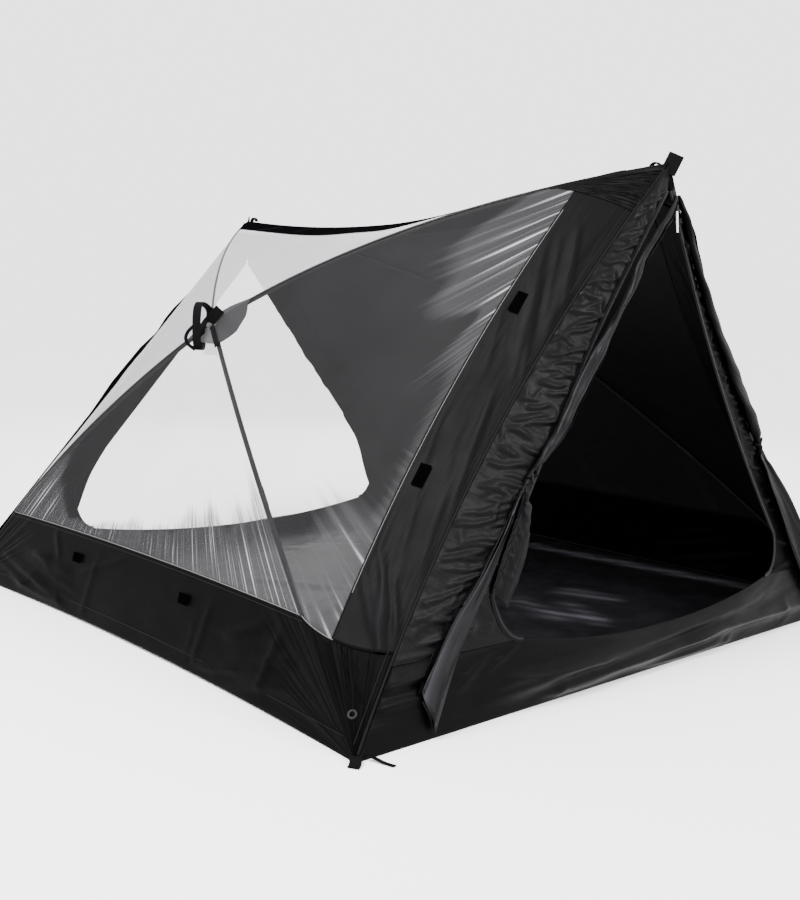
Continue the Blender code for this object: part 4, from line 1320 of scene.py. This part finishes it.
LEFT_ROLL = [(0.030, 1.232), (-0.030, 1.172), (-0.078, 1.108), (-0.122, 1.050), (-0.160, 0.965),
             (-0.222, 0.880), (-0.275, 0.815), (-0.345, 0.712), (-0.402, 0.630), (-0.450, 0.572),
             (-0.480, 0.535)]
LEFT_ROLL_INNER = [(0.038, 1.222), (-0.006, 1.158), (-0.042, 1.120), (-0.082, 1.068), (-0.117, 1.005),
                   (-0.163, 0.935), (-0.218, 0.842), (-0.290, 0.735), (-0.346, 0.655), (-0.400, 0.597),
                   (-0.462, 0.545)]
LEFT_TAIL = [(-0.530, 0.462), (-0.590, 0.388), (-0.668, 0.300), (-0.742, 0.236), (-0.806, 0.168),
             (-0.858, 0.104)]
LEFT_TAIL_INNER = [(-0.505, 0.500), (-0.548, 0.428), (-0.612, 0.328), (-0.680, 0.236), (-0.752, 0.138),
                   (-0.834, 0.014)]
door_flap("front_left_flap_cloth", "front_flap_left", FRONT_WALL, LEFT_ROLL + LEFT_TAIL,
          LEFT_ROLL_INNER + LEFT_TAIL_INNER, 10.3, 170, 110, 4.6, 201, flap_finish, 0.9)

RIGHT_ROLL_INNER = [(0.040, 1.232), (0.064, 1.180), (0.100, 1.120), (0.170, 1.021), (0.250, 0.930),
                    (0.330, 0.830), (0.405, 0.738), (0.462, 0.668), (0.508, 0.600), (0.545, 0.550)]
RIGHT_ROLL = [(0.060, 1.232), (0.100, 1.180), (0.150, 1.120), (0.220, 1.035), (0.308, 0.945),
              (0.398, 0.860), (0.475, 0.775), (0.530, 0.702), (0.568, 0.625), (0.576, 0.556)]
RIGHT_TAIL_INNER = [(0.560, 0.500), (0.578, 0.440), (0.628, 0.355), (0.672, 0.262), (0.712, 0.172),
                    (0.752, 0.080), (0.790, 0.018)]
RIGHT_TAIL = [(0.602, 0.512), (0.655, 0.460), (0.735, 0.378), (0.790, 0.300), (0.845, 0.220),
              (0.885, 0.150), (0.905, 0.100)]
door_flap("front_right_flap_cloth", "front_flap_right", FRONT_WALL, RIGHT_ROLL_INNER + RIGHT_TAIL_INNER,
          RIGHT_ROLL + RIGHT_TAIL, 9.3, 170, 110, 4.6, 202, shaded_flap, 0.3)

REAR_ROLL = [(0.022, 1.085), (0.072, 1.015), (0.128, 0.945), (0.192, 0.868), (0.255, 0.795),
             (0.316, 0.718), (0.375, 0.648), (0.430, 0.588), (0.478, 0.538)]
REAR_ROLL_OUTER = [(0.050, 1.085), (0.118, 1.020), (0.178, 0.955), (0.243, 0.885), (0.306, 0.812),
                   (0.368, 0.738), (0.426, 0.665), (0.474, 0.605), (0.510, 0.550)]
REAR_TAIL = [(0.525, 0.470), (0.585, 0.395), (0.634, 0.310), (0.672, 0.215), (0.710, 0.130),
             (0.755, 0.040)]
REAR_TAIL_OUTER = [(0.562, 0.490), (0.626, 0.425), (0.690, 0.350), (0.746, 0.270), (0.798, 0.200),
                   (0.840, 0.120)]
for side, sign, seed in (("right", 1, 211), ("left", -1, 212)):
    inner = [(x * sign, z) for x, z in REAR_ROLL + REAR_TAIL]
    outer = [(x * sign, z) for x, z in REAR_ROLL_OUTER + REAR_TAIL_OUTER]
    door_flap(f"rear_{side}_flap_cloth", f"rear_flap_{side}", REAR_WALL, inner, outer, 8.3, 130, 90, 4.2,
              seed, shaded_flap, 0.3)

lining_finish = woven("lining_cloth", 0.0016, 0.0100, 0.36, 0.06, (26, 6, 0.010))
LINING = [(-0.486, 0.520), (-0.512, 0.468), (-0.546, 0.412), (-0.584, 0.352), (-0.622, 0.286)]
LINING_INNER = [(-0.474, 0.520), (-0.482, 0.466), (-0.489, 0.398), (-0.512, 0.335), (-0.575, 0.238)]
rows, columns = 70, 50
edges = [FRONT_WALL.on(side[:, 0], side[:, 1], 0.002) for side in
         (through(LINING, rows), through(LINING_INNER, rows))]
u = np.linspace(0, 1, columns)[None, :, None]
k = np.linspace(0, 1, rows)[:, None]
points = edges[0][:, None] * (1 - u) + edges[1][:, None] * u
depth = 0.006 * (1 + np.sin(math.tau * 1.3 * u[..., 0] + 1.5 + k)) * (0.3 + 0.7 * k)
points = points + vec(0, -1, 0) * depth[..., None]
rng = np.random.default_rng(221)
lift = free_folds(rng, points, 26, 118, 10, 0.16, 0.005, 0.004)
lining = cloth("front_left_lining_cloth", points, vec(0, -1, 0), lift, LIGHT_CLOTH, lining_finish)
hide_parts("front_flap_left_lining")


# Door ties
# A short elastic loop goes round each rolled flap at half height and hooks over a small bar toggle that
# is sewn to the zip tape.

webbing = Finish("webbing")
ribbing = webbing.noise(420, 2, 0.5, (1, 0.25, 1))
webbing.surface({
    "Base Color": webbing.blend(ribbing, grey(0.0012, COOL), grey(0.0034, COOL)),
    "Roughness": ribbing * 0.2 + 0.55,
    "Specular IOR Level": 0.03,
    "Normal": webbing.bump(ribbing, 0.0006),
})

toggle_finish = Finish("bar_toggle")
toggle_finish.surface({"Base Color": toggle_finish.blend(toggle_finish.noise(90), grey(0.004), grey(0.012)),
                       "Roughness": toggle_finish.noise(200) * 0.2 + 0.3, "Specular IOR Level": 0.1})
TOGGLE_LENGTH = 0.032
TOGGLE_RADII = (0.0016, 0.0028, 0.0032, 0.0030, 0.0026, 0.0030, 0.0032, 0.0028, 0.0016)
# Title, wall, and the outer and inner edges of the roll there
TIES = [("front_left", FRONT_WALL, (-0.481, 0.535), (-0.462, 0.545)),
        ("front_right", FRONT_WALL, (0.576, 0.556), (0.545, 0.550)),
        ("rear_left", REAR_WALL, (-0.510, 0.550), (-0.478, 0.538)),
        ("rear_right", REAR_WALL, (0.510, 0.550), (0.478, 0.538))]
for title, wall, outer, inner in TIES:
    ends = [wall.on(x, z, 0.0015) for x, z in (outer, inner)]
    middle, half = (ends[0] + ends[1]) / 2, (ends[1] - ends[0]) / 2
    out = vec(0, wall.face, 0)
    turn = np.linspace(0, math.tau, 28, endpoint=False)[:, None]
    arm = unit(half)
    size = max(np.linalg.norm(half), 0.012) + 0.003
    path = middle + out * (0.010 + 0.0125 * np.sin(turn)) + arm * size * np.cos(turn)
    piece = strap(f"{title}_tie_loop", path, np.cross(out, arm), 0.009, 0.0022, webbing, loop=True,
                  square=0.8)
    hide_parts(f"{title}_toggle")
    lean = unit(vec(0.25 * np.sign(outer[0]), 0, 1.0))
    place = middle - arm * (size * 0.55) + out * 0.0215
    bar = place + lean * np.linspace(-TOGGLE_LENGTH / 2, TOGGLE_LENGTH / 2, len(TOGGLE_RADII))[:, None]
    radii = np.array(TOGGLE_RADII)[:, None]
    shape = Shape()
    shape.add_rings(sweep(bar, unit(np.cross(lean, out)) * radii, out * radii, 14))
    piece = shape.make(f"{title}_bar_toggle", toggle_finish)


# Pull straps
# A loop of black webbing is sewn round each hub's cap. Pulling it outward pops the hub out and springs
# the poles, and it stands off the wall in a stiff open loop. A narrow ring runs down inside the loop,
# the webbing's sewn end stands up from the hub, and a keeper lies along the front foot pole.

STRAP_WIDTH = 0.027
STRAP_OUT = vec(-0.88, -0.47, 0)
STRAP_ACROSS = vec(-0.47, 0.88, 0)
# How far out from the cap and how far up the loop runs, and the same for the ring away from the loop
STRAP_ROUTE = [
    (0.000, -0.014), (0.000, 0.000), (0.000, 0.014), (0.009, 0.030), (0.026, 0.044), (0.042, 0.050),
    (0.056, 0.036), (0.062, 0.008), (0.063, -0.024), (0.062, -0.054), (0.056, -0.078),
    (0.042, -0.085), (0.028, -0.068), (0.012, -0.038),
]
RING_ROUTE = [(0.002, -0.012), (0.018, -0.024), (0.030, -0.040), (0.033, -0.056), (0.025, -0.071),
              (0.006, -0.085)]
cap_face = HUB + (0.013 - POLE_RADIUS - 0.0015 + 0.00125) * WALL_OUT
strap_root = cap_face + vec(0, 0.013, 0)
cap_up = unit(np.cross(np.cross(WALL_OUT, UP), WALL_OUT))
seat = HUB + vec(-0.0172, -0.0192, 0.0032)
end_path = through([seat + vec(0.001, 0.002, -0.006), seat + vec(0.006, -0.006, 0.010),
                    seat + vec(0.020, -0.022, 0.034)], 24)
keeper_path = POLE_LINES["front_foot"](np.linspace(0.020, 0.088, 24)) + 0.0055 * WALL_OUT
keeper_across = np.cross(WALL_OUT, unit(keeper_path[-1] - keeper_path[0]))
STRAP_ENDS = [("end", end_path, vec(0.75, -0.66, -0.16), 0.031),
              ("keeper", keeper_path, keeper_across, 0.015)]
for side, flip in SIDES.items():
    route = []
    for out, up in STRAP_ROUTE:
        hang = min(1, out / 0.03)
        direction = (1 - hang) * WALL_OUT + hang * STRAP_OUT
        rise = (1 - hang) * cap_up + hang * UP
        route.append((strap_root + out * direction + up * rise) * flip)
    closed = through(np.array(route[-2:] + route + route[:3]), 15 * 8 + 1, 2, len(route) + 2)[:-1]
    piece = strap(f"{side}_pull_strap_webbing", closed, STRAP_ACROSS * flip, STRAP_WIDTH, 0.0024, webbing,
                  loop=True)
    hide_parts(f"{side}_pull_strap")
    ring = [strap_root + 0.058 * STRAP_OUT + up * UP + out * vec(-0.747, 0.665, 0) for out, up in RING_ROUTE]
    ring = through(ring, 40)
    toward = np.cross(unit(np.gradient(ring, axis=0)), vec(-0.66, -0.74, 0.10))
    piece = strap(f"{side}_pull_strap_ring", ring * flip, toward * flip, 0.0100, 0.0030, webbing)
    for title, path, across, width in STRAP_ENDS:
        piece = strap(f"{side}_pull_strap_{title}", path * flip, across * flip, width, 0.0022, webbing)


# Peak tabs
# A tab of folded webbing is sewn to each peak, for a guy line, and a small loop stands on the ridge
# just behind it.

for end, top, face, drop in (("front", FRONT_TOP, -1, 0.0018), ("rear", REAR_TOP, 1, 0.0010)):
    axes = (unit(vec(0.30, face * 0.60, -0.30)), unit(vec(0.25, face * 0.35, 0.95)))
    normal = unit(np.cross(axes[0], axes[1]))
    across = np.cross(axes[1], normal)
    foot = top + vec(0.004, face * (0.0015 + 0.004), -drop)
    low, high = (-0.024, 0.026) if face < 0 else (-0.006, 0.009)
    turn = np.linspace(0, math.pi, 9)
    path = [foot + axes[1] * a - normal * 0.0016 for a in np.linspace(low, high, 8)]
    path += [foot + axes[1] * (high + 0.0016 * math.sin(a)) - normal * 0.0016 * math.cos(a) for a in turn]
    path += [foot + axes[1] * a + normal * 0.0016 for a in np.linspace(high, low, 8)]
    piece = strap(f"{end}_peak_tab_webbing", path, across, 0.040, 0.0014, webbing)
    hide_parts(f"{end}_peak_tab")
    seat = RIDGE(0.978 if face < 0 else 0.020)
    arc = np.linspace(0, math.pi, 16)
    path = [seat + vec(0, 0.015 * math.cos(a), 0.001 + 0.013 * math.sin(a)) for a in arc]
    piece = strap(f"{end}_ridge_loop", path, vec(1, 0, 0), 0.014, 0.0040, webbing)


# Corner loops
# At each ground corner a short webbing end sticks out past the poles, for a peg, and a narrow tail lies
# on the ground beside it. Above them a plated eyelet is punched through the band.

# Both as how far past the side, how far past the end wall, and the height
LOOP_ROUTE = [(-0.006, -0.006, 0.012), (0.004, 0.006, 0.008), (0.013, 0.014, 0.0035),
              (0.021, 0.019, 0.0022)]
TAIL_ROUTE = [(-0.034, 0.004, 0.010), (-0.040, 0.020, 0.006), (-0.046, 0.040, 0.0024),
              (-0.052, 0.064, 0.0022)]
LOOP_WIDTH = 0.026
TAIL_WIDTH = 0.011
EYELET_S = 0.957
EYELET_RADIUS = 0.0085
plated = Finish("plated_eyelet")
plated.surface({"Base Color": grey(0.012), "Metallic": 0.8, "Roughness": plated.noise(200) * 0.2 + 0.35,
                "Specular IOR Level": 0.1})
for end, foot, face in (("front", FRONT_FOOT, -1), ("rear", REAR_FOOT, 1)):
    for side, sign in (("left", -1), ("right", 1)):
        corner = vec(sign * abs(foot[0]), foot[1], 0)
        out = unit(vec(sign, face, 0))
        path = [corner + vec(sign * a, face * b, c) for a, b, c in LOOP_ROUTE]
        piece = strap(f"{end}_{side}_corner_loop_webbing", through(path, 16), np.cross(out, UP), LOOP_WIDTH,
                      0.0026, webbing)
        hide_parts(f"{end}_{side}_corner_loop")
        path = [corner + vec(sign * a, face * b, c) for a, b, c in TAIL_ROUTE]
        piece = strap(f"{end}_{side}_corner_tail", through(path, 18), vec(1, 0, 0), TAIL_WIDTH, 0.0020,
                      webbing)
        if end == "front":
            centre, normal = FRONT(EYELET_S, 0.972), facet_normal(FRONT, EYELET_S, 0.94, 1)
        else:
            centre, normal = REAR(EYELET_S, 0.028), facet_normal(REAR, EYELET_S, 0.06, 1)
        flip = SIDES[side]
        arm = unit(np.cross(normal, UP))
        other = np.cross(normal, arm)
        turn = np.linspace(0, math.tau, 28, endpoint=False)[:, None]
        spoke = arm * np.cos(turn) + other * np.sin(turn)
        ring = centre + normal * 0.0015 + spoke * EYELET_RADIUS
        shape = Shape()
        shape.add_rings(sweep(ring, spoke * 0.0030, np.broadcast_to(normal * 0.0013, ring.shape), 10) * flip,
                        loop=True)
        piece = shape.make(f"{end}_{side}_eyelet", plated)
